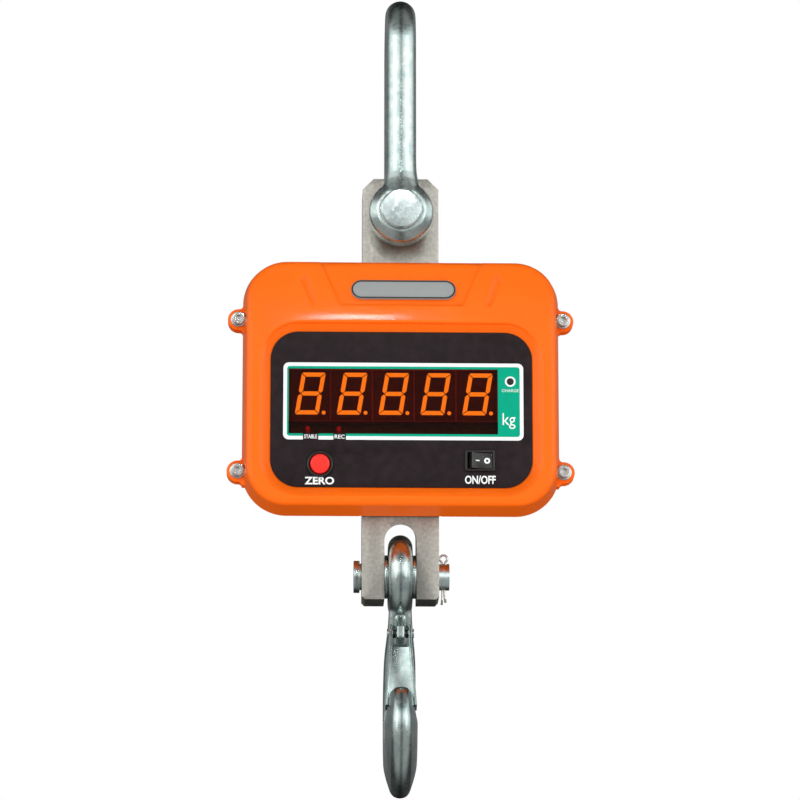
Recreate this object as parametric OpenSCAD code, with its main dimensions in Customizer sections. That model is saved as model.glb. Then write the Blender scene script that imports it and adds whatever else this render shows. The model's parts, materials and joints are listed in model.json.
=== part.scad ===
// Crane scale: a shackle, a load-cell bar inside a two-part housing with the display and
// controls, and an eye hook with a safety latch.
// Frame: millimetres, +Z up, front of the scale towards -Y. The origin is on the inner face of
// the shackle's crown, where the crane's hook bears, with the scale hanging below it.

/* [Shackle] */
// Diameter of the shackle's bar
bow_d = 22; // [20:0.5:23]
// Clear width between the shackle's legs
bow_gap = 36; // [35:0.5:38]
// Height of the crown's inner face above the shackle pin's axis
bow_drop = 146; // [140:1:155]
// Diameter of the shackle's ears
ear_d = 46; // [44:1:48]
// Thickness of each ear
ear_t = 24; // [22:1:25]
// Diameter of the shackle pin
pin_d = 22; // [20:0.5:24]
// Diameter of the shackle pin's head
pin_head_d = 29.4; // [28:0.1:31]
// Height of the shackle pin's head
pin_head_t = 3.5; // [2.5:0.5:5]

/* [Load cell] */
// Width of the load-cell bar
bar_w = 55; // [54:0.5:57]
// Thickness of the load-cell bar
bar_t = 30; // [28:0.5:30]
// Height of the bar's top above the shackle pin's axis
bar_above_pin = 29.7; // [28:0.1:31]
// Distance between the shackle pin's axis and the hook pin's axis
pin_to_pin = 261.3; // [258:0.1:264]
// Height of the fork's foot below the hook pin's axis
fork_below_pin = 18.7; // [17:0.1:20]
// Width of the fork's slot
slot_w = 22.9; // [22.5:0.1:23.5]
// Height of the slot's round end above the hook pin's axis
slot_above_pin = 35.2; // [34:0.1:36]

/* [Housing] */
// Width of the housing at the joint between its two halves
case_w = 227; // [224:1:230]
// Height of the housing at that joint
case_h = 186.5; // [184:0.5:189]
// Height of the housing's top below the shackle pin's axis
case_below_pin = 34; // [32:0.5:36]
// Corner radius at the joint
case_r = 32; // [30:1:34]
// Distance of the front face in front of the bar's middle
front_d = 45; // [44:0.5:47]
// Distance of the joint in front of the bar's middle
joint_d = 18; // [17:0.5:19]
// Distance of the back face behind the bar's middle
back_d = 42; // [41:0.5:46]
// Wall thickness of the castings
wall = 3.5; // [3:0.5:4]
// How much the rear half's outline shrinks towards its back
rear_taper = 13; // [12:0.5:14]

/* [Display and controls] */
// Width of the front panel
panel_w = 186.6; // [184:0.2:189]
// Height of the front panel
panel_h = 113.4; // [111:0.2:115]
// Corner radius of the front panel
panel_r = 20; // [16:1:24]
// Width of the display window
window_w = 149; // [146:0.5:150]
// Height of the display window
window_h = 47.4; // [45:0.2:49]
// Diameter of the zero button's cap
cap_d = 13.8; // [12:0.2:14]
// Tilt of the power rocker to each side
rocker_tilt = 12; // [9:0.5:12]

/* [Hook] */
// Diameter of the hook pin
hook_pin_d = 19; // [18:0.5:20]
// Outer diameter of the hook's eye
eye_d = 60; // [58:0.5:61]
// Thickness of the hook's eye
eye_t = 17.5; // [16:0.5:17.6]
// Distance of the hook bowl's centre below the hook pin's axis
bowl_drop = 108.6; // [106:0.2:110]
// Inner radius of the hook's bowl
bowl_r = 22; // [21:0.5:23]
// Depth of the bowl's section, from its inner to its outer side
bowl_t = 28; // [26:0.5:29]
// Greatest width of the hook's body
hook_w = 23.5; // [22:0.5:24]

/* [Hidden] */
$fn = 96;
far = 400;

// Running clearance on the radius of every pin that turns, and fitting clearance of the rest
run = 0.06;
fit = 0.05;

// Heights
pin_z = -bow_drop;
bar_top = pin_z + bar_above_pin;
hook_z = pin_z - pin_to_pin;
fork_foot = hook_z - fork_below_pin;
slot_top = hook_z + slot_above_pin;
slot_lean = 13;
case_top = pin_z - case_below_pin;
case_foot = case_top - case_h;
case_z = case_top - case_h / 2;
panel_z = -293.4;
display_z = -287.5;
modules_z = -282.8;
zero_z = -333.6;
rocker_z = -330.6;
lug_z = [-224.0, -335.2];
gauge_z = -272;

// Places across the depth, as Y
leg_y = bow_gap / 2 + bow_d / 2;
bar_y = bar_t / 2;
joint_y = -joint_d;
front_y = -front_d;
shoulder_y = front_y + 5;
pocket_y = front_y + 6.5;
panel_t = 1;
panel_y = pocket_y - panel_t;
gasket_t = 1;
rim_y = joint_y + gasket_t;
inner_front_y = pocket_y + wall;
inner_back_y = back_d - wall;

// Shape of the housing
front_draft = 2.7;
front_edge = 4;
pocket_bevel = 6.5;
slope_foot_z = case_top - 47;
slope_top_y = front_y + 12;
slope_tilt = atan2(front_y - slope_top_y, case_top - slope_foot_z);
slope_mid = [0, (front_y + slope_top_y) / 2, (slope_foot_z + case_top) / 2];
trap_depth = 2;
groove_depth = 1.5;
lug_r = 7.8;
lug_x = case_w / 2 + 3;
front_lug_t = 4.5;
rear_lug_t = 5;

// Fasteners
m5 = 5;
screw_head_d = 8.6;
screw_head_t = 3.6;
m3 = 3;
screw_clear = 0.3;
washer_d = 11.2;
washer_t = 1.2;

// Controls
zero_x = -57.8;
zero_bezel_r = 9.4;
cap_proud = 4.4;
bezel_proud = 2;
rocker_x = 55.8;
switch_w = 21.2;
switch_h = 15;
switch_hole_w = 17.8;
switch_hole_h = 12;
rocker_pivot_y = panel_y + 3.5;
rocker_pin_d = 2.4;
charge_x = 77.6;
charge_z = -272.6;
status_x = [-66.5, -44.5];
status_z = -306.4;

// Display
digit_pitch = 29.8;
display_x = -5.8;
module_w = 29.5;
module_h = 37.6;
module_t = 10;
window_t = 2.5;
module_front_y = panel_y + window_t + 0.5;
board_front_y = module_front_y + module_t;
board_t = 1.6;
board_z = -287;
board_w = 176;
board_h = 62;
standoff_x = 84;
standoff_z = 25;

// Inside the rear half
bolt_z = [-214, -340];
bolt_x = 16;
bolt_d = 8;
bolt_head_d = 13;
bolt_seat_y = back_d - 9;
battery_size = [60, 34, 134];
battery_at = [63, 7, -277];
tray_t = 2;
tray_head_t = 1.2;
strap_z = [-232, -322];
tray_boss = [22, 55];
board2_size = [58, 1.6, 124];
board2_at = [-68, 18, -277];
board2_boss = [23, 55];
socket_at = [-70, back_d, -327];

// Hook and latch, measured from the hook pin's axis
eye_mid_r = eye_d / 2 - eye_t / 2;
bowl_mid_r = bowl_r + bowl_t / 2;
bowl_z = hook_z - bowl_drop;
link_inset = 0.6;
// Slices of the hook's back: y and z of the inner side, tilt, width and depth
back_places = [[bowl_r, -bowl_drop - 0.5, 0, hook_w, bowl_t], [18, -83, 10, hook_w, 26],
    [6.5, -60, 27, 0.95 * hook_w, 24.5], [-6, -40, 22, 0.76 * hook_w, 24],
    [-10.5, -22, 6, 0.7 * hook_w, 21]];
// Slices of its tip: angle, radius of the inner side, width and depth
tip_places = [[-1, bowl_r, hook_w, bowl_t], [15, bowl_r + 6, 0.68 * hook_w, 0.72 * bowl_t],
    [27, bowl_r + 10.5, 0.52 * hook_w, 0.5 * bowl_t], [33, bowl_r + 14.5, 0.3 * hook_w, 0.2 * bowl_t]];
latch_y = -12.5;
latch_z = hook_z - 43;
latch_len = 58;
latch_lean = 15.5;
latch_sheet = 1.8;
latch_top_w = 15.6;
latch_foot_w = 22.3;
flange_d = 8;
boss_w = 5;
latch_pin_d = 4;

// ---------- Shared shapes ----------

// A rounded rectangle about the origin
module rounded_rect(w, h, r) {
    square([w, h - 2 * r], center = true);
    square([w - 2 * r, h], center = true);
    for (x = [-1, 1], y = [-1, 1])
        translate([x * (w / 2 - r), y * (h / 2 - r)]) circle(r);
}

// Stands a flat outline upright: its x stays, its y becomes Z, and it runs from y0 back to y1
module upright(y0, y1) {
    translate([0, y1, 0]) rotate([90, 0, 0]) linear_extrude(y1 - y0) children();
}

// An upright rounded block whose outline grows by grow on each side between y0 and y1
module draft_block(w, h, r, y0, y1, grow) {
    t = y1 - y0;
    // Trapezoid of one direction: half-size a at y0 and a + grow at y1
    for (x = [-1, 1], z = [-1, 1])
        translate([x * (w / 2 - r), y0, z * (h / 2 - r)])
            rotate([-90, 0, 0]) cylinder(r1 = r, r2 = r + grow, h = t);
    translate([0, 0, -(h / 2 - r)]) linear_extrude(h - 2 * r)
        polygon([[-w / 2, y0], [w / 2, y0], [w / 2 + grow, y1], [-w / 2 - grow, y1]]);
    rotate([90, 0, 90]) translate([0, 0, -(w / 2 - r)]) linear_extrude(w - 2 * r)
        polygon([[y0, -h / 2], [y0, h / 2], [y1, h / 2 + grow], [y1, -h / 2 - grow]]);
}

// A cylinder along Y from y0 to y1
module rod_y(d, y0, y1) {
    translate([0, y0, 0]) rotate([-90, 0, 0]) cylinder(d = d, h = y1 - y0);
}

// A cylinder along X from x0 to x1
module rod_x(d, x0, x1) {
    translate([x0, 0, 0]) rotate([0, 90, 0]) cylinder(d = d, h = x1 - x0);
}

// A box about x = 0 between two heights and two depths
module box_between(w, y0, y1, z0, z1) {
    translate([-w / 2, y0, z0]) cube([w, y1 - y0, z1 - z0]);
}

// Two copies, mirrored from left to right
module both_sides() {
    for (side = [0, 1]) mirror([side, 0, 0]) children();
}

// A round lead through a list of points, with a slightly fuller ball at each bend
module lead(points, d) {
    for (p = points) translate(p) sphere(d = d + 0.4, $fn = 24);
    for (i = [0 : len(points) - 2]) {
        run_to = points[i + 1] - points[i];
        translate(points[i])
            rotate([0, acos(run_to.z / norm(run_to)), atan2(run_to.y, run_to.x)])
                cylinder(d = d, h = norm(run_to), $fn = 24);
    }
}

// A pan-head screw along +Y, its head's underside at y = 0 and its tip at y = length
module pan_screw(d, length) {
    difference() {
        union() {
            rod_y(d, 0, length);
            rod_y(d * 1.9, -d * 0.6, 0);
        }
        for (turn = [0, 90])
            rotate([0, turn, 0]) translate([-d * 0.6, -d * 0.6 - 1, -d * 0.1])
                cube([d * 1.2, 1 + d * 0.3, d * 0.2]);
    }
}

// A split pin along Z: its shank through the origin and its loop on top
module split_pin(d, above, below, loop_d) {
    translate([0, 0, -below]) cylinder(d = d, h = above + below, $fn = 32);
    translate([0, 0, above + loop_d / 2 - d / 4]) rotate([90, 0, 0])
        rotate_extrude($fn = 48) translate([loop_d / 2 - d / 2, 0]) circle(d = d * 0.7, $fn = 24);
}

// ---------- Shackle ----------

// An ear about its bore, with bevelled rims
module ear() {
    bore_r = pin_d / 2 + fit;
    r = ear_d / 2;
    half = ear_t / 2;
    rotate([-90, 0, 0]) rotate_extrude()
        polygon([[bore_r, -half], [r - 3.7, -half], [r, 4 - half], [r, half - 4], [r - 3.7, half],
            [bore_r, half]]);
}

module shackle_bow() {
    leg_foot = pin_z + pin_d / 2 + 4;
    color([0.72, 0.78, 0.79]) {
        translate([0, 0, -bow_gap / 2]) rotate([90, 0, 90])
            rotate_extrude(angle = 180) translate([leg_y, 0]) circle(d = bow_d);
        for (side = [-1, 1]) {
            translate([0, side * leg_y, leg_foot])
                cylinder(d = bow_d - 0.1, h = 1 - bow_gap / 2 - leg_foot);
            translate([0, side * leg_y, pin_z]) ear();
        }
    }
}

module shackle_pin() {
    back = leg_y + ear_t / 2;
    color([0.75, 0.83, 0.84]) translate([0, 0, pin_z]) difference() {
        union() {
            rod_y(pin_d, -back, back + 14);
            translate([0, -back - pin_head_t, 0]) rotate([-90, 0, 0]) {
                cylinder(d1 = pin_head_d - 2, d2 = pin_head_d, h = 1);
                translate([0, 0, 1]) cylinder(d = pin_head_d, h = pin_head_t - 1);
            }
        }
        translate([0, back + 9, -far / 2]) cylinder(d = 4 + 2 * fit, h = far, $fn = 32);
    }
}

module shackle_nut() {
    back = leg_y + ear_t / 2;
    color([0.7, 0.74, 0.75]) translate([0, back, pin_z]) difference() {
        rotate([-90, 0, 0]) cylinder(d = 34, h = 11.5, $fn = 6);
        rod_y(pin_d + 2 * fit, -1, 20);
        for (turn = [0, 60, 120])
            rotate([0, turn, 0]) translate([-2.4, 6.8, -20]) cube([4.8, 10, 40]);
    }
}

module shackle_cotter() {
    color([0.8, 0.8, 0.78]) translate([0, leg_y + ear_t / 2 + 9, pin_z])
        split_pin(4, 17, 19, 9);
}

// ---------- Load cell ----------

module fork_slot() {
    box_between(slot_w, -far, far, fork_foot - 1, slot_top - slot_w / 2);
    translate([0, 0, slot_top - slot_w / 2]) rod_y(slot_w, -far, far);
}

module load_cell() {
    chamfer = 8;
    color([0.66, 0.63, 0.57]) difference() {
        box_between(bar_w, -bar_y, bar_y, fork_foot, bar_top);
        both_sides() translate([bar_w / 2, 0, bar_top]) rotate([0, 45, 0])
            cube([chamfer * sqrt(2), far, chamfer * sqrt(2)], center = true);
        both_sides() translate([bar_w / 2, 0, fork_foot]) rotate([0, 45, 0])
            cube([3, far, 3], center = true);
        // The slot's round end rises towards the back, to clear the hook's eye
        fork_slot();
        translate([0, -bar_y, slot_top]) rotate([slot_lean, 0, 0]) translate([0, bar_y, -slot_top]) fork_slot();
        translate([0, 0, pin_z]) rod_y(pin_d + 2 * run, -far, far);
        translate([0, 0, hook_z]) rod_x(hook_pin_d + 2 * fit, -far, far);
        // Gauge pockets either side of a thin web, and the groove of their cable
        for (side = [-1, 1])
            translate([0, side * (bar_y - 5.5), gauge_z]) rod_y(26, side > 0 ? -5.5 : -7, side > 0 ? 7 : 5.5);
        translate([0, 0, gauge_z]) rod_x(4, -far, 0);
        // Tapped holes in the back face, for the bolts that hold the housing
        at_bolts() rod_y(bolt_d + 2 * fit, bar_y - 12, far);
    }
}

// Stations of the bolts between the rear half and the bar
module at_bolts() {
    for (z = bolt_z, x = [-1, 1]) translate([x * bolt_x, 0, z]) children();
}

module strain_gauges() {
    color([0.85, 0.6, 0.25]) for (side = [-1, 1], x = [-1, 1])
        translate([x * 5, side * 4.2, gauge_z]) rotate([0, x * 45, 0])
            cube([9, 0.4, 5], center = true);
}

module gauge_covers() {
    color([0.6, 0.6, 0.58]) for (side = [-1, 1])
        translate([0, side * (bar_y - 1), gauge_z]) rod_y(26 - 2 * fit, -1, 1);
}

// Rubber collar that closes the gap between the bar and the rear half's wall, flush with its taper
module bar_seal(z0, z1) {
    color([0.12, 0.12, 0.12]) intersection() {
        difference() {
            box_between(bar_w + 4, rim_y + 0.2, bar_y + 2.5, z0, z1);
            box_between(bar_w, -bar_y, bar_y, z0 - 1, z1 + 1);
        }
        rear_solid(0.6);
    }
}

module top_seal() {
    bar_seal(case_top - 13, case_top);
}

module bottom_seal() {
    bar_seal(case_foot, case_foot + 13);
}

// ---------- Housing ----------

// Region cut away above the sloped top of the front half, moved inwards by inset
module slope_cut(inset) {
    rotate([90, 0, 90]) translate([0, 0, -far]) linear_extrude(2 * far)
        polygon([[front_y - 20, slope_foot_z - inset], [front_y + inset, slope_foot_z - inset],
            [slope_top_y + inset, case_top - inset], [slope_top_y + inset, case_top + 40],
            [front_y - 20, case_top + 40]]);
}

// Lug stations: left and right, upper and lower
module at_lugs() {
    for (x = [-lug_x, lug_x], z = lug_z) translate([x, 0, z]) children();
}

module front_solid(inset) {
    w = case_w - 2 * front_draft - 2 * inset;
    h = case_h - 2 * front_draft - 2 * inset;
    r = case_r - front_draft - inset;
    translate([0, 0, case_z]) {
        draft_block(w, h, r, shoulder_y, joint_y, front_draft);
        draft_block(w - 2 * front_edge, h - 2 * front_edge, r - front_edge,
            front_y, shoulder_y, front_edge);
    }
}

// One of the two slanting grooves in the sloped top, right of the middle
module slope_groove() {
    polygon([[60.5, -12.8], [63.9, -16.1], [72.6, 5.9], [68.2, 12.4]]);
}

module front_cover() {
    color([1, 0.42, 0.1]) difference() {
        union() {
            difference() {
                front_solid(0);
                intersection() {
                    front_solid(wall);
                    box_between(2 * far, inner_front_y, far, -far * 2, far);
                    difference() {
                        box_between(2 * far, -far, far, -2 * far, far);
                        slope_cut(wall);
                    }
                }
                slope_cut(0);
            }
            at_lugs() rod_y(2 * lug_r, joint_y - front_lug_t, joint_y);
        }
        at_lugs() {
            rod_y(m5 + 2 * screw_clear, -far, far);
            rod_y(washer_d + 2 * screw_clear, front_y - 1, joint_y - front_lug_t);
        }
        // Open back of the shell
        translate([0, 0, case_z]) upright(joint_y - 3, joint_y + 1)
            rounded_rect(case_w - 2 * wall - 2, case_h - 2 * wall - 2, case_r - wall - 1);
        // Bevelled pocket of the front panel
        translate([0, 0, panel_z]) draft_block(panel_w + 2 * pocket_bevel, panel_h + 2 * pocket_bevel,
            panel_r + pocket_bevel, front_y, pocket_y, -pocket_bevel);
        translate([0, 0, panel_z]) upright(front_y - 1, front_y)
            rounded_rect(panel_w + 2 * pocket_bevel, panel_h + 2 * pocket_bevel, panel_r + pocket_bevel);
        // Openings of the window, the button, the switch and the lamp
        translate([display_x, 0, display_z]) upright(-far, 0) square([window_w + 0.2, window_h + 0.2], center = true);
        translate([zero_x, 0, zero_z]) rod_y(16.2, -far, 0);
        translate([rocker_x, 0, rocker_z]) upright(-far, 0) square([19.2, 13.2], center = true);
        translate([charge_x, 0, charge_z]) rod_y(5 + 2 * fit, -far, 0);
        // Blank-plate pocket and the two grooves, on the slope
        translate(slope_mid) rotate([slope_tilt, 0, 0]) {
            upright(-10, trap_depth) polygon([[-64, 34], [64, 34], [44.5, -15], [-44.5, -15]]);
            both_sides() upright(-10, groove_depth) slope_groove();
        }
    }
}

module rear_solid(inset) {
    back = 2 * rear_taper;
    translate([0, 0, case_z]) rotate([0, 0, 180])
        draft_block(case_w - back - 2 * inset, case_h - back - 2 * inset, case_r - rear_taper - inset + 1,
            -back_d + inset, -rim_y, rear_taper);
}

// Screw stations of the battery's tray and of the main board
module at_tray_bosses() {
    for (x = [-1, 1], z = [-1, 1])
        translate([battery_at.x + x * tray_boss[0], 0, battery_at.z + z * tray_boss[1]]) children();
}

module at_board_bosses() {
    for (x = [-1, 1], z = [-1, 1])
        translate([board2_at.x + x * board2_boss[0], 0, board2_at.z + z * board2_boss[1]]) children();
}

module rear_cover() {
    tray_seat = battery_at.y + battery_size.y / 2 + tray_t;
    board_seat = board2_at.y + board2_size.y / 2;
    color([1, 0.42, 0.1]) difference() {
        union() {
            difference() {
                rear_solid(0);
                rear_solid(wall);
                translate([0, 0, case_z]) upright(rim_y - 1, rim_y + 2)
                    rounded_rect(case_w - 2 * wall - 2, case_h - 2 * wall - 2, case_r - wall - 1);
            }
            at_lugs() rod_y(2 * lug_r, rim_y, rim_y + rear_lug_t);
            // Bosses of the bar's bolts, the battery's tray and the main board
            at_bolts() rod_y(19, bar_y, inner_back_y + 1);
            at_tray_bosses() rod_y(8, tray_seat, inner_back_y + 1);
            at_board_bosses() rod_y(8, board_seat, inner_back_y + 1);
        }
        // Tapped holes of the cover screws
        at_lugs() rod_y(m5 + 2 * fit, rim_y - 1, rim_y + rear_lug_t + 1);
        // Slots for the bar and its seals
        box_between(bar_w + 4, rim_y - 1, bar_y + 2.5, case_foot - 10, case_foot + 12);
        box_between(bar_w + 4, rim_y - 1, bar_y + 2.5, case_top - 12, case_top + 10);
        at_bolts() {
            rod_y(bolt_d + 0.8, 0, far);
            rod_y(bolt_head_d + 1.6, bolt_seat_y, far);
        }
        at_tray_bosses() rod_y(m3 + 2 * fit, 0, inner_back_y);
        at_board_bosses() rod_y(m3 + 2 * fit, 0, inner_back_y);
        // Charging socket: flange seat and hole
        translate([socket_at.x, 0, socket_at.z]) {
            rod_y(18, back_d - 1.5, far);
            rod_y(11 + 2 * fit, 0, far);
        }
    }
}

module cover_gasket() {
    color([0.1, 0.1, 0.1]) translate([0, 0, case_z]) upright(joint_y, rim_y) difference() {
        rounded_rect(case_w - 2, case_h - 2, case_r - 1);
        rounded_rect(case_w - 2 * wall, case_h - 2 * wall, case_r - wall);
    }
}

module cover_screws() {
    head_y = joint_y - front_lug_t - washer_t;
    color([0.8, 0.8, 0.8]) at_lugs() difference() {
        union() {
            rod_y(m5, head_y, rim_y + rear_lug_t - 0.5);
            rod_y(screw_head_d, head_y - screw_head_t, head_y);
        }
        translate([0, head_y - 1.4, 0]) rotate([90, 0, 0]) cylinder(d = 4.7, h = 5, $fn = 6);
    }
}

module cover_washers() {
    head_y = joint_y - front_lug_t - washer_t;
    color([0.85, 0.85, 0.85]) at_lugs() difference() {
        rod_y(washer_d, head_y, head_y + washer_t);
        rod_y(m5 + 2 * fit, -far, far);
    }
}

// Blank grey plate with round ends, on the floor of the slope's pocket
module name_plate() {
    plate_w = 75;
    plate_h = 15;
    color([0.58, 0.6, 0.61]) translate(slope_mid) rotate([slope_tilt, 0, 0])
        translate([1.5, 0, -1.5]) upright(trap_depth - 1.5, trap_depth) {
            square([plate_w - plate_h, plate_h], center = true);
            for (x = [-1, 1]) translate([x * (plate_w - plate_h) / 2, 0]) circle(d = plate_h);
        }
}

// ---------- Display ----------

module front_panel() {
    color([0.11, 0.1, 0.11]) difference() {
        translate([0, 0, panel_z]) upright(panel_y, pocket_y)
            rounded_rect(panel_w - 0.2, panel_h - 0.2, panel_r);
        translate([display_x, 0, display_z]) upright(-far, 0) square([window_w, window_h], center = true);
        translate([zero_x, 0, zero_z]) rod_y(16.2, -far, 0);
        translate([rocker_x, 0, rocker_z]) upright(-far, 0) square([19.2, 13.2], center = true);
        translate([charge_x, 0, charge_z]) rod_y(5 + 2 * fit, -far, 0);
    }
}

module display_window() {
    color([0.35, 0.05, 0.03, 0.6]) translate([display_x, 0, display_z]) upright(panel_y, panel_y + window_t)
        square([window_w, window_h], center = true);
}

module led_modules() {
    color([0.15, 0.1, 0.1]) for (i = [0 : 4])
        translate([display_x + (i - 2) * digit_pitch, 0, modules_z]) upright(module_front_y, board_front_y)
            square([module_w, module_h], center = true);
}

module display_board() {
    color([0.1, 0.35, 0.15]) difference() {
        translate([0, 0, board_z]) upright(board_front_y, board_front_y + board_t)
            square([board_w, board_h], center = true);
        for (x = [-1, 1], z = [-1, 1])
            translate([x * standoff_x, 0, board_z + z * standoff_z]) rod_y(m3 + 2 * fit, -far, far);
    }
}

module board_standoffs() {
    color([0.8, 0.7, 0.4]) for (x = [-1, 1], z = [-1, 1])
        translate([x * standoff_x, 0, board_z + z * standoff_z]) difference() {
            rod_y(6, inner_front_y, board_front_y);
            rod_y(m3 + 2 * fit, inner_front_y + 1, far);
        }
}

module board_screws() {
    color([0.75, 0.75, 0.75]) for (x = [-1, 1], z = [-1, 1])
        translate([x * standoff_x, board_front_y + board_t, board_z + z * standoff_z])
            rotate([0, 0, 180]) pan_screw(m3, board_t + 5);
}

module status_lamps() {
    color([0.8, 0.1, 0.1]) for (x = status_x) translate([x, 0, status_z]) {
        rod_y(3, module_front_y + 1.5, board_front_y);
        translate([0, module_front_y + 1.5, 0]) sphere(d = 3);
    }
}

module charge_lamp() {
    color([0.1, 0.1, 0.1]) translate([charge_x, 0, charge_z]) {
        rod_y(5, panel_y - 0.3, inner_front_y + 2);
        rod_y(6, inner_front_y, inner_front_y + 1.5);
    }
}

// ---------- Controls ----------

module zero_button_housing() {
    back_y = inner_front_y + 14;
    color([0.08, 0.08, 0.08]) translate([zero_x, 0, zero_z]) difference() {
        union() {
            rod_y(16, panel_y, back_y);
            translate([0, panel_y - bezel_proud, 0]) rotate([-90, 0, 0])
                cylinder(r1 = zero_bezel_r - 1, r2 = zero_bezel_r, h = bezel_proud);
        }
        rod_y(cap_d + 0.2, -far, back_y - 3);
    }
}

module zero_button_nut() {
    color([0.7, 0.7, 0.7]) translate([zero_x, inner_front_y, zero_z]) difference() {
        rotate([-90, 0, 0]) cylinder(d = 22, h = 3, $fn = 6);
        rod_y(16 + 2 * fit, -1, 5);
    }
}

module zero_button_cap() {
    top = panel_y - cap_proud;
    color([0.9, 0.13, 0.13]) translate([zero_x, 0, zero_z]) {
        translate([0, top, 0]) rotate([-90, 0, 0]) cylinder(d1 = cap_d - 2, d2 = cap_d, h = 1);
        rod_y(cap_d, top + 1, panel_y + 6);
        rod_y(5, panel_y + 6, inner_front_y + 8);
    }
}

module power_switch_body() {
    color([0.07, 0.07, 0.07]) translate([rocker_x, 0, rocker_z]) difference() {
        union() {
            upright(panel_y - bezel_proud, panel_y) rounded_rect(switch_w, switch_h, 1.2);
            upright(panel_y, panel_y + 18) square([19, 13], center = true);
            for (x = [-6, 0, 6]) translate([x, panel_y + 18, 0]) box_between(0.8, 0, 7, -2.4, 2.4);
        }
        upright(-far, panel_y + 11) square([switch_hole_w, switch_hole_h], center = true);
        translate([0, rocker_pivot_y, 0])
            cylinder(d = rocker_pin_d + 2 * run, h = 2 * switch_h, center = true, $fn = 48);
    }
}

// The rocker is drawn level and tilted about its pivot, its right half pressed in
module power_rocker() {
    half = 7.4;
    color([0.05, 0.05, 0.05]) translate([rocker_x, rocker_pivot_y, rocker_z]) {
        rotate([0, 0, rocker_tilt]) translate([0, 0, -(switch_hole_h - 0.8) / 2])
            linear_extrude(switch_hole_h - 0.8)
                polygon([[-half, -6.3], [0, -4.6], [half, -6.3], [half + 0.8, -1.5], [4, 3.4], [-4, 3.4],
                    [-half - 0.8, -1.5]]);
        cylinder(d = rocker_pin_d, h = switch_hole_h + 1, center = true, $fn = 48);
    }
}

// ---------- Inside the rear half ----------

// Socket-head bolts from the back, through the rear half's bosses into the bar
module cell_bolts() {
    head_h = 8;
    color([0.35, 0.35, 0.36]) at_bolts() difference() {
        union() {
            rod_y(bolt_d, bar_y - 11, bolt_seat_y);
            rod_y(bolt_head_d, bolt_seat_y, bolt_seat_y + head_h);
        }
        translate([0, bolt_seat_y + head_h - 4, 0]) rotate([-90, 0, 0]) cylinder(d = 6.9, h = 5, $fn = 6);
    }
}

module battery() {
    color([0.2, 0.22, 0.25]) translate(battery_at) {
        cube(battery_size, center = true);
        for (x = [-20, 20]) translate([x, 0, battery_size.z / 2]) cube([0.8, 5, 12], center = true);
    }
}

module battery_tray() {
    back = battery_at.y + battery_size.y / 2;
    lip = battery_size.y * 0.6;
    foot = -battery_size.z / 2;
    color([0.75, 0.75, 0.73]) difference() {
        translate([battery_at.x, 0, battery_at.z]) {
            box_between(battery_size.x + 2 * tray_t, back, back + tray_t, foot - tray_t, -foot);
            box_between(battery_size.x + 2 * tray_t, back - lip, back, foot - tray_t, foot);
            both_sides() translate([battery_size.x / 2 + tray_t / 2, 0, 0])
                box_between(tray_t, back - lip, back, foot, -foot);
        }
        at_tray_bosses() {
            rod_y(m3 + 2 * screw_clear, 0, far);
            rod_y(6.6, 0, back + tray_head_t);
        }
    }
}

// Straps round the battery's front, hooked over the tray's sides
module battery_straps() {
    front = battery_at.y - battery_size.y / 2;
    side_back = battery_at.y + battery_size.y / 2 - battery_size.y * 0.6;
    color([0.2, 0.2, 0.2]) for (z = strap_z) translate([battery_at.x, 0, z]) {
        box_between(battery_size.x + 2 * tray_t, front - 1.5, front, -6, 6);
        both_sides() translate([battery_size.x / 2 + tray_t / 2, 0, 0])
            box_between(tray_t, front, side_back, -6, 6);
    }
}

// Low-head screws sunk in the tray's back, clear of the battery
module tray_screws() {
    back = battery_at.y + battery_size.y / 2;
    color([0.75, 0.75, 0.75]) at_tray_bosses() {
        rod_y(6, back + 0.1, back + tray_head_t);
        rod_y(m3, back + tray_head_t, back + tray_t + 10);
    }
}

// Two leads from the battery's terminals, round the back of the bar to the main board
module battery_leads() {
    top = battery_at.z + battery_size.z / 2;
    board_face = board2_at.y - board2_size.y / 2;
    for (i = [0, 1]) {
        start_x = battery_at.x + 40 * i - 20;
        start_y = battery_at.y + 10 * i - 5;
        level = top + 9 + 3 * i;
        behind = bar_y + 11 + 4 * i;
        end_x = -50 - 6 * i;
        color(i == 0 ? [0.8, 0.1, 0.1] : [0.1, 0.1, 0.1])
            lead([[start_x, battery_at.y, top + 7.5], [start_x, start_y, level], [40, start_y, level],
                [40, behind, level], [-36, behind, level], [end_x, board_face - 5, top + 4],
                [end_x, board_face - 1.6, top - 12]], 2.2);
    }
}

module main_board() {
    color([0.1, 0.35, 0.15]) difference() {
        translate(board2_at) cube(board2_size, center = true);
        at_board_bosses() rod_y(m3 + 2 * fit, -far, far);
    }
}

module main_board_parts() {
    face = board2_at.y - board2_size.y / 2;
    translate([board2_at.x, 0, board2_at.z]) {
        color([0.15, 0.15, 0.15]) {
            translate([-8, 0, 10]) box_between(14, face - 3, face, -10, 10);
            translate([10, 0, -12]) box_between(10, face - 3, face, -5, 5);
            translate([-12, 0, -30]) box_between(20, face - 12, face, -10, 10);
        }
        color([0.2, 0.3, 0.5]) for (x = [4, 16]) translate([x, 0, 30]) rod_y(9, face - 14, face);
    }
}

module main_board_screws() {
    face = board2_at.y - board2_size.y / 2;
    color([0.75, 0.75, 0.75]) at_board_bosses()
        translate([0, face, 0]) pan_screw(m3, board2_size.y + 8);
}

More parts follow.
